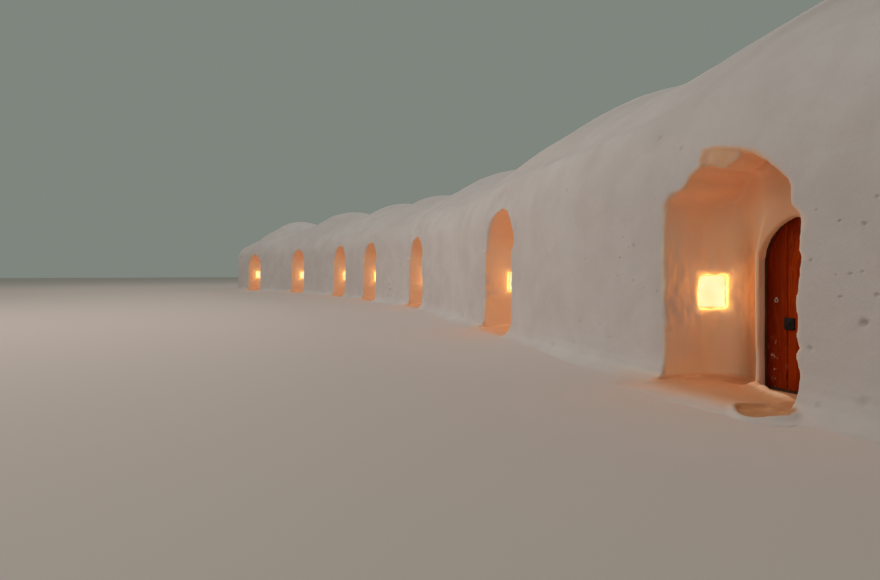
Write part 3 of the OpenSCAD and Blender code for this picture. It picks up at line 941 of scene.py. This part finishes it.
def snow_material():
    m, nt, b = material("packed_snow")
    N = Net(nt)
    co = N.coords()
    big = N.noise(co, .35, 3, .55)
    mid = N.noise(co, 1.6, 4, .6)
    streak = N.noise(N.mapping(co, (5, 5, .55)), 1.0, 4, .55)
    fine = N.noise(co, 26, 4, .65)
    grain = N.noise(co, 130, 2, .6)
    mark_shade = N.attr("painted_pit_shade")
    speck = N.ramp(N.voronoi(co, 17), .04, .09, 1, 0)
    speck = N.math("MULTIPLY", speck, N.ramp(N.noise(co, .9, 2, .5), .50, .60))
    c = N.mix(N.ramp(big, .35, .65), (.765, .675, .660), (.825, .745, .730))
    c = N.mix(N.math("MULTIPLY", N.ramp(mid, .35, .7), .46), c, (.70, .605, .59))
    c = N.mix(N.math("MULTIPLY", N.ramp(streak, .52, .72), .10), c, (.68, .58, .55))
    c = N.mix(N.math("MULTIPLY", N.ramp(fine, .55, .75), .12), c, (.60, .565, .53))
    c = N.mix(N.math("MULTIPLY", speck, .20), c, (.40, .37, .34))
    # painted shade inside the pressed marks
    c = N.mix(N.math("MULTIPLY", mark_shade, .20, True), c, (.30, .25, .22))
    # lamp light painted into the snow of the niches, rooms and passage: an orange base colour, deeper up high, on the
    # floor and above the door, and a painted glow
    painted_lamp_light = N.attr("painted_lamp_light")
    wn = N.math("MULTIPLY", painted_lamp_light, N.ramp(N.noise(co, 2.4, 3, .5), .2, .8, .86, 1.08), True)
    c = N.mix(N.math("MULTIPLY", wn, .94, True), c, N.mix(N.attr("painted_light_depth"), PAINTED_LIGHT_PALE, PAINTED_LIGHT_DEEP))
    # painted shade: a dark brown base colour and a weaker painted glow where the lamp light would not reach
    dim = N.math("SUBTRACT", 1.0, N.math("MULTIPLY", N.attr("painted_shade"), .42))
    c = N.mix(N.math("MULTIPLY", N.attr("painted_shade"), .88), c, (.44, .19, .075))
    N.put(b.inputs["Base Color"], c)
    b.inputs["Roughness"].default_value = .88
    b.inputs["Specular IOR Level"].default_value = .22
    h = N.math("ADD", N.math("MULTIPLY", fine, .6), N.math("MULTIPLY", grain, .25))
    h = N.math("ADD", h, N.math("MULTIPLY", mid, 1.2))
    h = N.math("SUBTRACT", h, N.math("MULTIPLY", speck, .5))
    N.put(b.inputs["Normal"], N.bump(h, .45, .012))
    # painted glow round each window hole, yellower close to it
    ec = N.mix(N.attr("painted_window_halo"), (1.0, .46, .21), (1.0, .50, .06))
    N.put(b.inputs["Emission Color"], ec)
    es = N.math("ADD", N.math("MULTIPLY", N.math("MULTIPLY", wn, dim), N.math("MULTIPLY", N.attr("lamp"), GLOW)), N.math("MULTIPLY", N.attr("painted_window_halo"), .62))
    N.put(b.inputs["Emission Strength"], es)
    return m


SNOW_MAT = snow_material()
REACH = [float(np.hypot(DOOR[k][0] - CAM_AT.x, DOOR[k][1] - CAM_AT.y)) for k in range(7)]
for ob, i in SNOW:
    me = ob.data
    co = np.zeros(len(me.vertices)*3, F32)
    me.vertices.foreach_get("co", co)
    co = co.reshape(-1, 3)
    painted_lamp_light = np.zeros(len(co))
    painted_window_halo = np.zeros(len(co))
    painted_shade = np.zeros(len(co))
    painted_light_depth = np.zeros(len(co))
    lamp = np.ones(len(co))
    if not ob.name.startswith("snow_end"):
        x, y = local(i, co[:, 0], co[:, 1])
        z = co[:, 2]
        o = OUTLINE[i](x, z)
        painted_lamp_light = sstep(-.015, .030, y) * (y < 1.0) * (1 - sstep(.005, .040, o)) * (np.abs(x) < 1.1)
        # less painted lamp light on the flakes of the broken lip
        if i == 0:
            flake = sstep(-.006, .008, LIP(x, z)) * (1 - sstep(.10, .13, y))
            painted_lamp_light = painted_lamp_light * (1 - flake*(.06 + .16*N4(co, .05)))
        # the sides of the opening in front of the door get less painted lamp light and stay paler
        jx = np.abs(x - DOOR_C)
        jamb = (y > .462) & (y < .60) & (jx > LEAF_HW - .055) & (jx < LEAF_HW + .012) & (z < 1.20) & (z > .05)
        painted_lamp_light = np.where(jamb, .30 + .12*sstep(.5, 1.0, z), painted_lamp_light)
        # painted lamp light on the floor and on the trodden foot
        foot = (1 - sstep(.05, .11, z)) * (np.abs(x) < 1.0) * (y < .5)
        spread = .85 * sstep(-.62, -.02, y + .12*N3(co, .3)) * (1 - sstep(.68, .86, np.abs(x)))
        painted_lamp_light = np.maximum(painted_lamp_light, foot * spread)
        # and a faint trail of it on the drift beyond the far edge
        trail = (1 - sstep(.05, .12, z)) * (y < .08) * (x < -.45) * np.exp(-((x + .60)/.62)**2)
        painted_lamp_light = np.maximum(painted_lamp_light, (.42 if i == 0 else .30) * trail * sstep(-.9, -.3, y))
        if i == 0:
            painted_lamp_light = np.maximum(painted_lamp_light, (z < .05) * (1 - sstep(-.03, .01, TREAD(x, y))) * (y < .25))
        # painted lamp light inside the rooms and along the passage
        inside = (y > .93) & (room_skin(i, x, y, z) < .09)
        painted_lamp_light = np.maximum(painted_lamp_light, .45*inside)
        pas = (y > LEAF_Y - .01) & (y < 2.4) & (np.abs(x - DOOR_C) < .56) & (z < 2.02)
        painted_lamp_light = np.maximum(painted_lamp_light, .5*pas)
        q = box2(x, y, WIN_P, WIN_A, -.04, .4, WIN_W/2)
        q = np.maximum(q, np.abs(z - WIN_Z - WIN_H/2) - WIN_H/2)
        # painted shade out of the window's light, beside the door
        painted_shade = 1.0 * sstep(-.58, -.34, x) * (x < -.045) * (y > .465) * (y < .90) * (1 - sstep(1.10, 1.75, z)) * (1 - jamb)
        # the painted light is a deeper orange up high, on the floor and on the face above the doorway; painted shade on
        # the niche floor, in front of it and above the doorway
        low = 1 - sstep(.045, .080, z)
        inn = (1 - sstep(-.02, .03, o)) * (np.abs(x) < 1.0)
        above = sstep(.38, .41, y) * (1 - sstep(.46, .60, y)) * sstep(-.08, .02, x) * inn
        painted_light_depth = np.maximum(sstep(1.35, 2.0, z), np.maximum(low, above))
        ramp = low * (1 - sstep(.58, .74, np.abs(x))) * sstep(-.42, -.04, y) * (y < .60)
        painted_shade = np.maximum(painted_shade * inn, np.maximum((.62 if i == 0 else .35)*ramp, .34*above*sstep(1.15, 1.5, z)))
        if i == 0:
            # painted shade on the lip's flakes and in the trodden hollow
            painted_shade = np.maximum(painted_shade, .14*flake*inn*(y > -.01))
            painted_shade = np.maximum(painted_shade, .85*low*(1 - sstep(-.02, .02, TREAD(x, y)))*(y < .22)*(1 + .3*N4(co, .07)))
            # a small patch on the far edge gets little painted lamp light
            pale = np.exp(-((x + .70)/.05)**4 - ((z - .70)/.13)**2)*(y < .5)
            painted_lamp_light = painted_lamp_light * (1 - np.clip(.95*pale*(.8 + .4*N4(co, .05)), 0, 1))
            # less painted lamp light on the far side next to the opening, so it is paler
            painted_lamp_light = painted_lamp_light * (1 - .30*sstep(.64, .71, -x)*(y < .50)*sstep(.1, .3, z)*(1 - sstep(1.5, 1.9, z)))
        # in the other bays the painted light is a paler orange
        else:
            painted_light_depth = painted_light_depth * .75
        # strength of the painted lamp glow in each bay
        lamp = np.full(len(co), (1.0, 1.5, 1.05, 1.15, 1.2, 1.35, 1.3)[i])
        # painted glow round the window hole, wider in the bays farther from the camera
        wide = .032 * (REACH[i] / REACH[0])**.62
        painted_window_halo = np.exp(-np.maximum(q, 0)/wide)
        painted_window_halo = np.maximum(painted_window_halo, .30*np.exp(-np.maximum(q, 0)/.075)) * (1 + .5*N4(co, .04)*sstep(.0, .012, q))
        painted_window_halo = painted_window_halo * (y > .20) * (y < .95) * (x < -.2)
    a = me.attributes.new("painted_lamp_light", "FLOAT", "POINT")
    a.data.foreach_set("value", painted_lamp_light.astype(F32))
    a = me.attributes.new("painted_light_depth", "FLOAT", "POINT")
    a.data.foreach_set("value", painted_light_depth.astype(F32))
    a = me.attributes.new("lamp", "FLOAT", "POINT")
    a.data.foreach_set("value", lamp.astype(F32))
    a = me.attributes.new("painted_shade", "FLOAT", "POINT")
    a.data.foreach_set("value", painted_shade.astype(F32))
    a = me.attributes.new("painted_window_halo", "FLOAT", "POINT")
    a.data.foreach_set("value", painted_window_halo.astype(F32))
    if "painted_pit_shade" not in me.attributes:
        a = me.attributes.new("painted_pit_shade", "FLOAT", "POINT")
        a.data.foreach_set("value", np.zeros(len(co), F32))
    me.materials.append(SNOW_MAT)


def wood_material(name, dark, mid, light, frost=False, soft=False):
    m, nt, b = material(name)
    N = Net(nt)
    co = N.coords()
    g = N.node("ShaderNodeAttribute", attribute_name="grain").outputs["Vector"]
    src = co if soft else g
    st = N.mapping(src, (9, 9, 1.1))
    fib = N.noise(N.mapping(src, (60, 60, 2.2)), 1.0, 4, .6, .3)
    band = N.noise(st, 1.0, 4, .6, 1.2)
    ringn = N.math("SINE", N.math("MULTIPLY", band, 34))
    c = N.mix(N.ramp(band, .3, .7), dark, mid)
    c = N.mix(N.math("MULTIPLY", N.ramp(ringn, .3, 1), .35), c, light)
    c = N.mix(N.math("MULTIPLY", N.ramp(fib, .5, .72), .45), c, dark)
    kv = N.voronoi(N.mapping(src, (4.2, 4.2, 1.9)), 1.0)
    knot = N.ramp(kv, .05, .11, 1, 0)
    c = N.mix(N.math("MULTIPLY", knot, .85), c, tuple(.25*v for v in dark))
    if frost:
        fv = N.ramp(N.noise(N.mapping(src, (34, 34, 15)), 1.0, 3, .6), .60, .68)
        fr = N.math("MULTIPLY", fv, N.attr("frost"))
        c = N.mix(N.math("MULTIPLY", fr, 1.1, True), c, (.80, .62, .50))
    N.put(b.inputs["Base Color"], c)
    N.put(b.inputs["Roughness"], N.ramp(fib, .3, .7, .62, .86))
    b.inputs["Specular IOR Level"].default_value = .06
    h = N.math("ADD", N.math("MULTIPLY", fib, .8), N.math("MULTIPLY", ringn, .15))
    h = N.math("SUBTRACT", h, N.math("MULTIPLY", knot, .3))
    N.put(b.inputs["Normal"], N.bump(h, .6, .003))
    return m


DOOR_MAT = wood_material("door_planks", (.200, .014, .0006), (.380, .037, .0012), (.560, .078, .004), frost=True)
FRAME_MAT = wood_material("frame_boards", (.07, .035, .02), (.15, .08, .045), (.24, .14, .08), soft=True)


def iron_material():
    m, nt, b = material("black_iron")
    N = Net(nt)
    co = N.coords()
    n = N.noise(co, 40, 4, .6)
    w = N.noise(co, 180, 3, .6)
    c = N.mix(N.ramp(n, .35, .7), (.010, .010, .011), (.030, .028, .027))
    c = N.mix(N.math("MULTIPLY", N.ramp(w, .6, .72), .5), c, (.10, .06, .04))
    N.put(b.inputs["Base Color"], c)
    b.inputs["Metallic"].default_value = .6
    N.put(b.inputs["Roughness"], N.ramp(n, .3, .7, .42, .68))
    N.put(b.inputs["Normal"], N.bump(w, .35, .0015))
    return m


def frosted_metal():
    m, nt, b = material("frosted_ring")
    N = Net(nt)
    n = N.noise(N.coords(), 90, 3, .6)
    N.put(b.inputs["Base Color"], N.mix(N.ramp(n, .3, .7), (.50, .46, .42), (.75, .70, .64)))
    b.inputs["Metallic"].default_value = .3
    N.put(b.inputs["Roughness"], N.ramp(n, .3, .7, .45, .7))
    N.put(b.inputs["Normal"], N.bump(n, .4, .001))
    return m


def pane_material():
    m, nt, b = material("lit_ice")
    N = Net(nt)
    co = N.coords()
    n = N.noise(co, 9, 3, .55)
    w = N.noise(co, 45, 3, .6)
    edge = N.math("MULTIPLY", N.attr("edge"), N.ramp(N.noise(co, 16, 3, .6), .30, .70, .55, 1.45), True)
    core = N.mix(N.ramp(n, .35, .65), (1.0, .80, .42), (1.0, .87, .53))
    c = N.mix(edge, core, (1.0, .50, .035))
    N.put(b.inputs["Base Color"], N.mix(edge, (.36, .29, .16), (.40, .20, .06)))
    N.put(b.inputs["Emission Color"], c)
    N.put(b.inputs["Emission Strength"], N.math("MULTIPLY", N.ramp(edge, 0, 1, .94, .78), N.ramp(w, .3, .7, .95, 1.05)))
    b.inputs["Roughness"].default_value = .35
    N.put(b.inputs["Normal"], N.bump(w, .4, .004))
    return m


IRON, RING, PANE = iron_material(), frosted_metal(), pane_material()

# ---------------------------------------------------------------- doors
def to_world(i, V):
    c, s = math.cos(ANG[i]), math.sin(ANG[i])
    V = np.asarray(V, float)
    return np.stack([DOOR[i][0] + V[:, 0]*c - V[:, 1]*s, DOOR[i][1] + V[:, 0]*s + V[:, 1]*c, V[:, 2]], 1)


def leaf_top(x):
    a = np.abs(x - DOOR_C) + (LEAF_R - LEAF_HW)
    return LEAF_SPRING + np.sqrt(np.maximum(LEAF_R**2 - a*a, 0))


PLANKS = [-.035, .170, .340, .510, .685]


def planks(i):
    """Four arched planks with worn edges, set side by side as one leaf."""
    rs = np.random.RandomState(500 + i)
    V, Fq, G, FR = [], [], [], []
    for k in range(4):
        x0, x1 = PLANKS[k] + (.0028 if k else 0), PLANKS[k+1] - (.0028 if k < 3 else 0)
        t = np.concatenate([[0, .012, .03, .06], np.linspace(.1, .9, 15 if i == 0 else 7), [.94, .97, .988, 1]])
        xs = x0 + (x1 - x0) * t
        rows = np.concatenate([[0, .006, .015], np.linspace(.03, .97, 46 if i == 0 else 22), [.985, .994, 1]])
        step = rs.uniform(-.0012, .0012)
        off = rs.uniform(0, 30, 3)
        nx, nz = len(xs), len(rows)
        z0 = .04
        XX = np.repeat(xs[:, None], nz, 1)
        ZZ = z0 + rows[None, :] * (leaf_top(xs)[:, None] - z0)
        e = np.minimum(XX - x0, x1 - XX)
        ez = np.minimum(ZZ - z0, leaf_top(xs)[:, None] - ZZ)
        round_ = .006*np.exp(-e/.0055) + .002*np.exp(-ez/.004)
        P = np.stack([XX.ravel()*3 + off[0], np.full(XX.size, off[1]), ZZ.ravel()*.35 + off[2]], 1)
        cup = .0012*N3(P, .05).reshape(XX.shape) + .0008*N4(P, .022).reshape(XX.shape)
        yf = LEAF_Y + np.abs(round_) + .0012 + step + np.abs(cup)
        yb = np.full(XX.shape, LEAF_Y + LEAF_T) - np.abs(round_)*.6
        base = len(V) and sum(len(v) for v in V)
        V.append(np.stack([XX.ravel(), yf.ravel(), ZZ.ravel()], 1))
        V.append(np.stack([XX.ravel(), yb.ravel(), ZZ.ravel()], 1))
        g = np.stack([XX.ravel() + off[0], np.full(XX.size, k*.7 + off[1]), ZZ.ravel() + off[2]], 1)
        G += [g, g + np.array([0, .05, 0])]
        fr = np.exp(-((XX - .035)/.040)**2 - ((ZZ - .26)/.20)**2) + .7*np.exp(-((XX - .172)/.012)**2 - ((ZZ - .35)/.09)**2)
        FR += [fr.ravel(), fr.ravel()*0]
        n = nx*nz
        idx = base + np.arange(n).reshape(nx, nz)
        a, b_, c, d = idx[:-1, :-1], idx[1:, :-1], idx[1:, 1:], idx[:-1, 1:]
        Fq.append(np.stack([a, b_, c, d], -1).reshape(-1, 4))
        Fq.append(np.stack([a, d, c, b_], -1).reshape(-1, 4) + n)
        loop = np.concatenate([idx[:, 0], idx[-1, 1:], idx[-2::-1, -1], idx[0, -2:0:-1]])
        l2 = np.roll(loop, -1)
        Fq.append(np.stack([loop, loop + n, l2 + n, l2], -1))
    V = to_world(i, np.vstack(V))
    ob = mesh_object("door_planks_%d" % (i + 1), V, np.vstack(Fq), smooth=False)
    me = ob.data
    a = me.attributes.new("grain", "FLOAT_VECTOR", "POINT")
    a.data.foreach_set("vector", np.vstack(G).astype(F32).ravel())
    a = me.attributes.new("frost", "FLOAT", "POINT")
    a.data.foreach_set("value", np.concatenate(FR).astype(F32))
    me.materials.append(DOOR_MAT)
    return ob


def rounded_box(lo, hi, r, n=3):
    """Box with rounded edges, as vertices and quads."""
    lo, hi = np.array(lo, float), np.array(hi, float)

    def ticks(a, b):
        th = np.linspace(0, np.pi/2, n + 1)
        s = a + r - r*np.cos(th)
        e = b - r + r*np.sin(th)
        return np.concatenate([s, np.linspace(a + r, b - r, 4)[1:-1], e])
    T = [ticks(lo[k], hi[k]) for k in range(3)]
    faces, verts, key = [], [], {}

    def vid(p):
        q = np.clip(p, lo + r, hi - r)
        d = p - q
        L = np.linalg.norm(d)
        if L > 1e-12:
            # push the cube's shell onto the rounded shell
            p2 = q + d * (r / max(L, 1e-12))
        else:
            p2 = p
        kk = tuple(np.round(p2, 7))
        if kk not in key:
            key[kk] = len(verts)
            verts.append(p2)
        return key[kk]
    for ax in range(3):
        o1, o2 = [(1, 2), (2, 0), (0, 1)][ax]
        for side in (0, 1):
            for a in range(len(T[o1]) - 1):
                for b in range(len(T[o2]) - 1):
                    q = []
                    for da, db in ((0, 0), (1, 0), (1, 1), (0, 1)):
                        p = np.zeros(3)
                        p[ax] = hi[ax] if side else lo[ax]
                        p[o1], p[o2] = T[o1][a + da], T[o2][b + db]
                        q.append(vid(p))
                    if not side:
                        q = q[::-1]
                    if len(set(q)) == 4:
                        faces.append(q)
                    elif len(set(q)) == 3:
                        faces.append([q[0]] + [v for n_, v in enumerate(q[1:]) if v not in q[:n_ + 1]] + [None])
    return np.array(verts), faces


def add_mesh(name, parts, mats, smooth=True):
    """One object from (verts, faces, material index) parts; faces may mix threes and fours."""
    V, F, M = [], [], []
    base = 0
    for v, f, m in parts:
        V.append(np.asarray(v, float))
        for q in f:
            F.append([base + k for k in q if k is not None])
            M.append(m)
        base += len(v)
    me = bpy.data.meshes.new(name)
    me.from_pydata(np.vstack(V).tolist(), [], F)
    me.polygons.foreach_set("material_index", np.array(M, np.int32))
    me.polygons.foreach_set("use_smooth", np.full(len(F), smooth))
    for mt in mats:
        me.materials.append(mt)
    me.validate()
    me.update()
    ob = bpy.data.objects.new(name, me)
    bpy.context.scene.collection.objects.link(ob)
    return ob


def torus_y(cx, cy, cz, R, r, n=28, m=12, sx=1.0):
    V, F = [], []
    for a in range(n):
        A = 2*math.pi*a/n
        for b in range(m):
            B = 2*math.pi*b/m
            rr = R + r*math.cos(B)
            V.append((cx + rr*math.cos(A)*sx, cy + r*math.sin(B), cz + rr*math.sin(A)))
    for a in range(n):
        for b in range(m):
            F.append([a*m + b, a*m + (b+1) % m, ((a+1) % n)*m + (b+1) % m, ((a+1) % n)*m + b])
    return V, F


def lathe_y(cx, y0, cz, prof, n=24):
    """Turned knob on an axis along y: prof is (distance towards -y, radius)."""
    V, F = [], []
    for d, r in prof:
        for a in range(n):
            A = 2*math.pi*a/n
            V.append((cx + r*math.cos(A), y0 - d, cz + r*math.sin(A)))
    k = len(prof)
    for j in range(k - 1):
        for a in range(n):
            b = (a + 1) % n
            F.append([j*n + a, j*n + b, (j+1)*n + b, (j+1)*n + a])
    c = len(V)
    V.append((cx, y0 - prof[-1][0] - .001, cz))
    for a in range(n):
        F.append([(k-1)*n + a, (k-1)*n + (a + 1) % n, c])
    c = len(V)
    V.append((cx, y0 - prof[0][0], cz))
    for a in range(n):
        F.append([(a + 1) % n, a, c])
    return V, F


def lock(i):
    parts = []
    v, f = rounded_box((.148, LEAF_Y - .016, .576), (.243, LEAF_Y + .004, .682), .005)
    parts.append((v, f, 0))
    v, f = rounded_box((.158, LEAF_Y - .020, .586), (.233, LEAF_Y - .010, .672), .004)
    parts.append((v, f, 0))
    v, f = lathe_y(.195, LEAF_Y - .018, .628, [(0, .020), (.003, .019), (.005, .012), (.008, .011), (.010, .015), (.0125, .017), (.0135, .013), (.014, .006)])
    parts.append((v, f, 0))
    for sx in (.158, .233):
        for sz in (.587, .671):
            v, f = lathe_y(sx, LEAF_Y - .016, sz, [(0, .0055), (.002, .005), (.003, .003)], 12)
            parts.append((v, f, 0))
    v, f = torus_y(.066, LEAF_Y - .0035, .832, .0155, .0042)
    parts.append((v, f, 1))
    v, f = rounded_box((.058, LEAF_Y - .006, .848), (.074, LEAF_Y + .003, .862), .003)
    parts.append((v, f, 1))
    parts = [(to_world(i, v), f, m) for v, f, m in parts]
    return add_mesh("door_fittings_%d" % (i + 1), parts, [IRON, RING])


def pane(i):
    """A block of clear ice with a hand-cut face, glowing from behind."""
    n1, n2 = 22, 26
    V, F, E = [], [], []
    a = np.linspace(-1, 1, n1)
    b = np.linspace(-1, 1, n2)
    A, B = np.meshgrid(a, b, indexing="ij")
    hw, hh = WIN_W/2 + .006, WIN_H/2 + .006
    ca, sa = math.cos(WIN_A), math.sin(WIN_A)
    lay = []
    for t, inset in ((.058, .010), (.061, .003), (.070, 0), (.112, 0), (.119, .006)):
        lay.append((t, inset))
    P = np.stack([A.ravel()*1.3 + 7*i, B.ravel()*1.5, 0*A.ravel()], 1)
    rough = .0022*N3(P, .35) + .0012*N4(P, .12)
    t0 = .0615 + np.abs(rough) + .004*np.maximum(np.abs(A), np.abs(B)).ravel()**12
    front_ = np.stack([t0, A.ravel()*hw, WIN_Z + WIN_H/2 + B.ravel()*hh], 1)
    back_ = np.stack([np.full(A.size, .1195), A.ravel()*hw, WIN_Z + WIN_H/2 + B.ravel()*hh], 1)
    L = np.vstack([front_, back_])
    idx = np.arange(A.size).reshape(n1, n2)
    p, q, r, s = idx[:-1, :-1], idx[1:, :-1], idx[1:, 1:], idx[:-1, 1:]
    Fq = [np.stack([p, s, r, q], -1).reshape(-1, 4), np.stack([p, q, r, s], -1).reshape(-1, 4) + A.size]
    loop = np.concatenate([idx[:, 0], idx[-1, 1:], idx[-2::-1, -1], idx[0, -2:0:-1]])
    l2 = np.roll(loop, -1)
    Fq.append(np.stack([loop, l2, l2 + A.size, loop + A.size], -1))
    x = WIN_P[0] + L[:, 0]*ca - L[:, 1]*sa
    y = WIN_P[1] + L[:, 0]*sa + L[:, 1]*ca
    V = to_world(i, np.stack([x, y, L[:, 2]], 1))
    ob = mesh_object("ice_pane_%d" % (i + 1), V, np.vstack(Fq))
    e = np.maximum(np.abs(A), np.abs(B)).ravel()
    e = np.clip((e - .78)/.22, 0, 1)**1.6
    at = ob.data.attributes.new("edge", "FLOAT", "POINT")
    at.data.foreach_set("value", np.concatenate([e, e]).astype(F32))
    ob.data.materials.append(PANE)
    return ob


for i in range(7):
    body = "door_%d" % (i + 1)
    ob = planks(i)
    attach(ob, body)
    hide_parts("door_leaf_%d" % (i + 1))
    ob = lock(i)
    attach(ob, body)
    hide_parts("door_lock_%d" % (i + 1))
    ob = pane(i)
    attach(ob, "root")
    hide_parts("window_pane_%d" % (i + 1))
    for node, mat in (("door_frame_%d", FRAME_MAT), ("door_straps_%d", IRON)):
        o = NODES[node % (i + 1)]
        for s in o.material_slots:
            s.material = mat

# ---------------------------------------------------------------- lights
def area(name, at, to, size, size_y, power, color):
    d = bpy.data.lights.new(name, "AREA")
    d.shape = "RECTANGLE"
    d.size, d.size_y, d.energy, d.color = size, size_y, power, color
    o = bpy.data.objects.new(name, d)
    bpy.context.scene.collection.objects.link(o)
    o.location = at
    o.rotation_euler = (Vector(to) - Vector(at)).to_track_quat("-Z", "Y").to_euler()
    o.visible_camera = False
    return o


for i in range(7):
    # the glow of each window, just in front of its pane
    ca, sa = math.cos(WIN_A), math.sin(WIN_A)
    x, y = WIN_P[0] + .03*ca, WIN_P[1] + .03*sa
    at = world(i, x, y, WIN_Z + WIN_H/2)
    to = world(i, x - ca, y - sa, WIN_Z + WIN_H/2)
    area("window_glow_%d" % (i + 1), at, to, WIN_W*.9, WIN_H*.9, 2.4 * (1.0 if i == 0 else 1.15), (1.0, .44, .14))

area("key", (7, -17, 14), (6, -1, 1.5), 12, 8, 850, (1.0, .92, .86))
area("fill", (-20, -14, 30), (-8, 1, 2), 18, 12, 1450, (1.0, .96, .92))
area("back", (0, 26, 18), (0, 0, 2), 26, 10, 1300, (1.0, .97, .95))

world_ = bpy.data.worlds.new("studio")
bpy.context.scene.world = world_
world_.use_nodes = True
wb = world_.node_tree.nodes["Background"]
wb.inputs[0].default_value = (.60, .68, .60, 1)
wb.inputs[1].default_value = .35

# ---------------------------------------------------------------- floor
fl = bpy.data.meshes.new("floor")
S = 90.0
fl.from_pydata([(-S, -S, -.0003), (S, -S, -.0003), (S, S, -.0003), (-S, S, -.0003)], [], [(0, 1, 2, 3)])
floor = bpy.data.objects.new("floor", fl)
bpy.context.scene.collection.objects.link(floor)
m, nt, b = material("pale_floor")
b.inputs["Base Color"].default_value = (.80, .675, .64, 1)
b.inputs["Roughness"].default_value = .9
b.inputs["Specular IOR Level"].default_value = .2
fl.materials.append(m)

bpy.context.scene.view_settings.view_transform = "Standard"
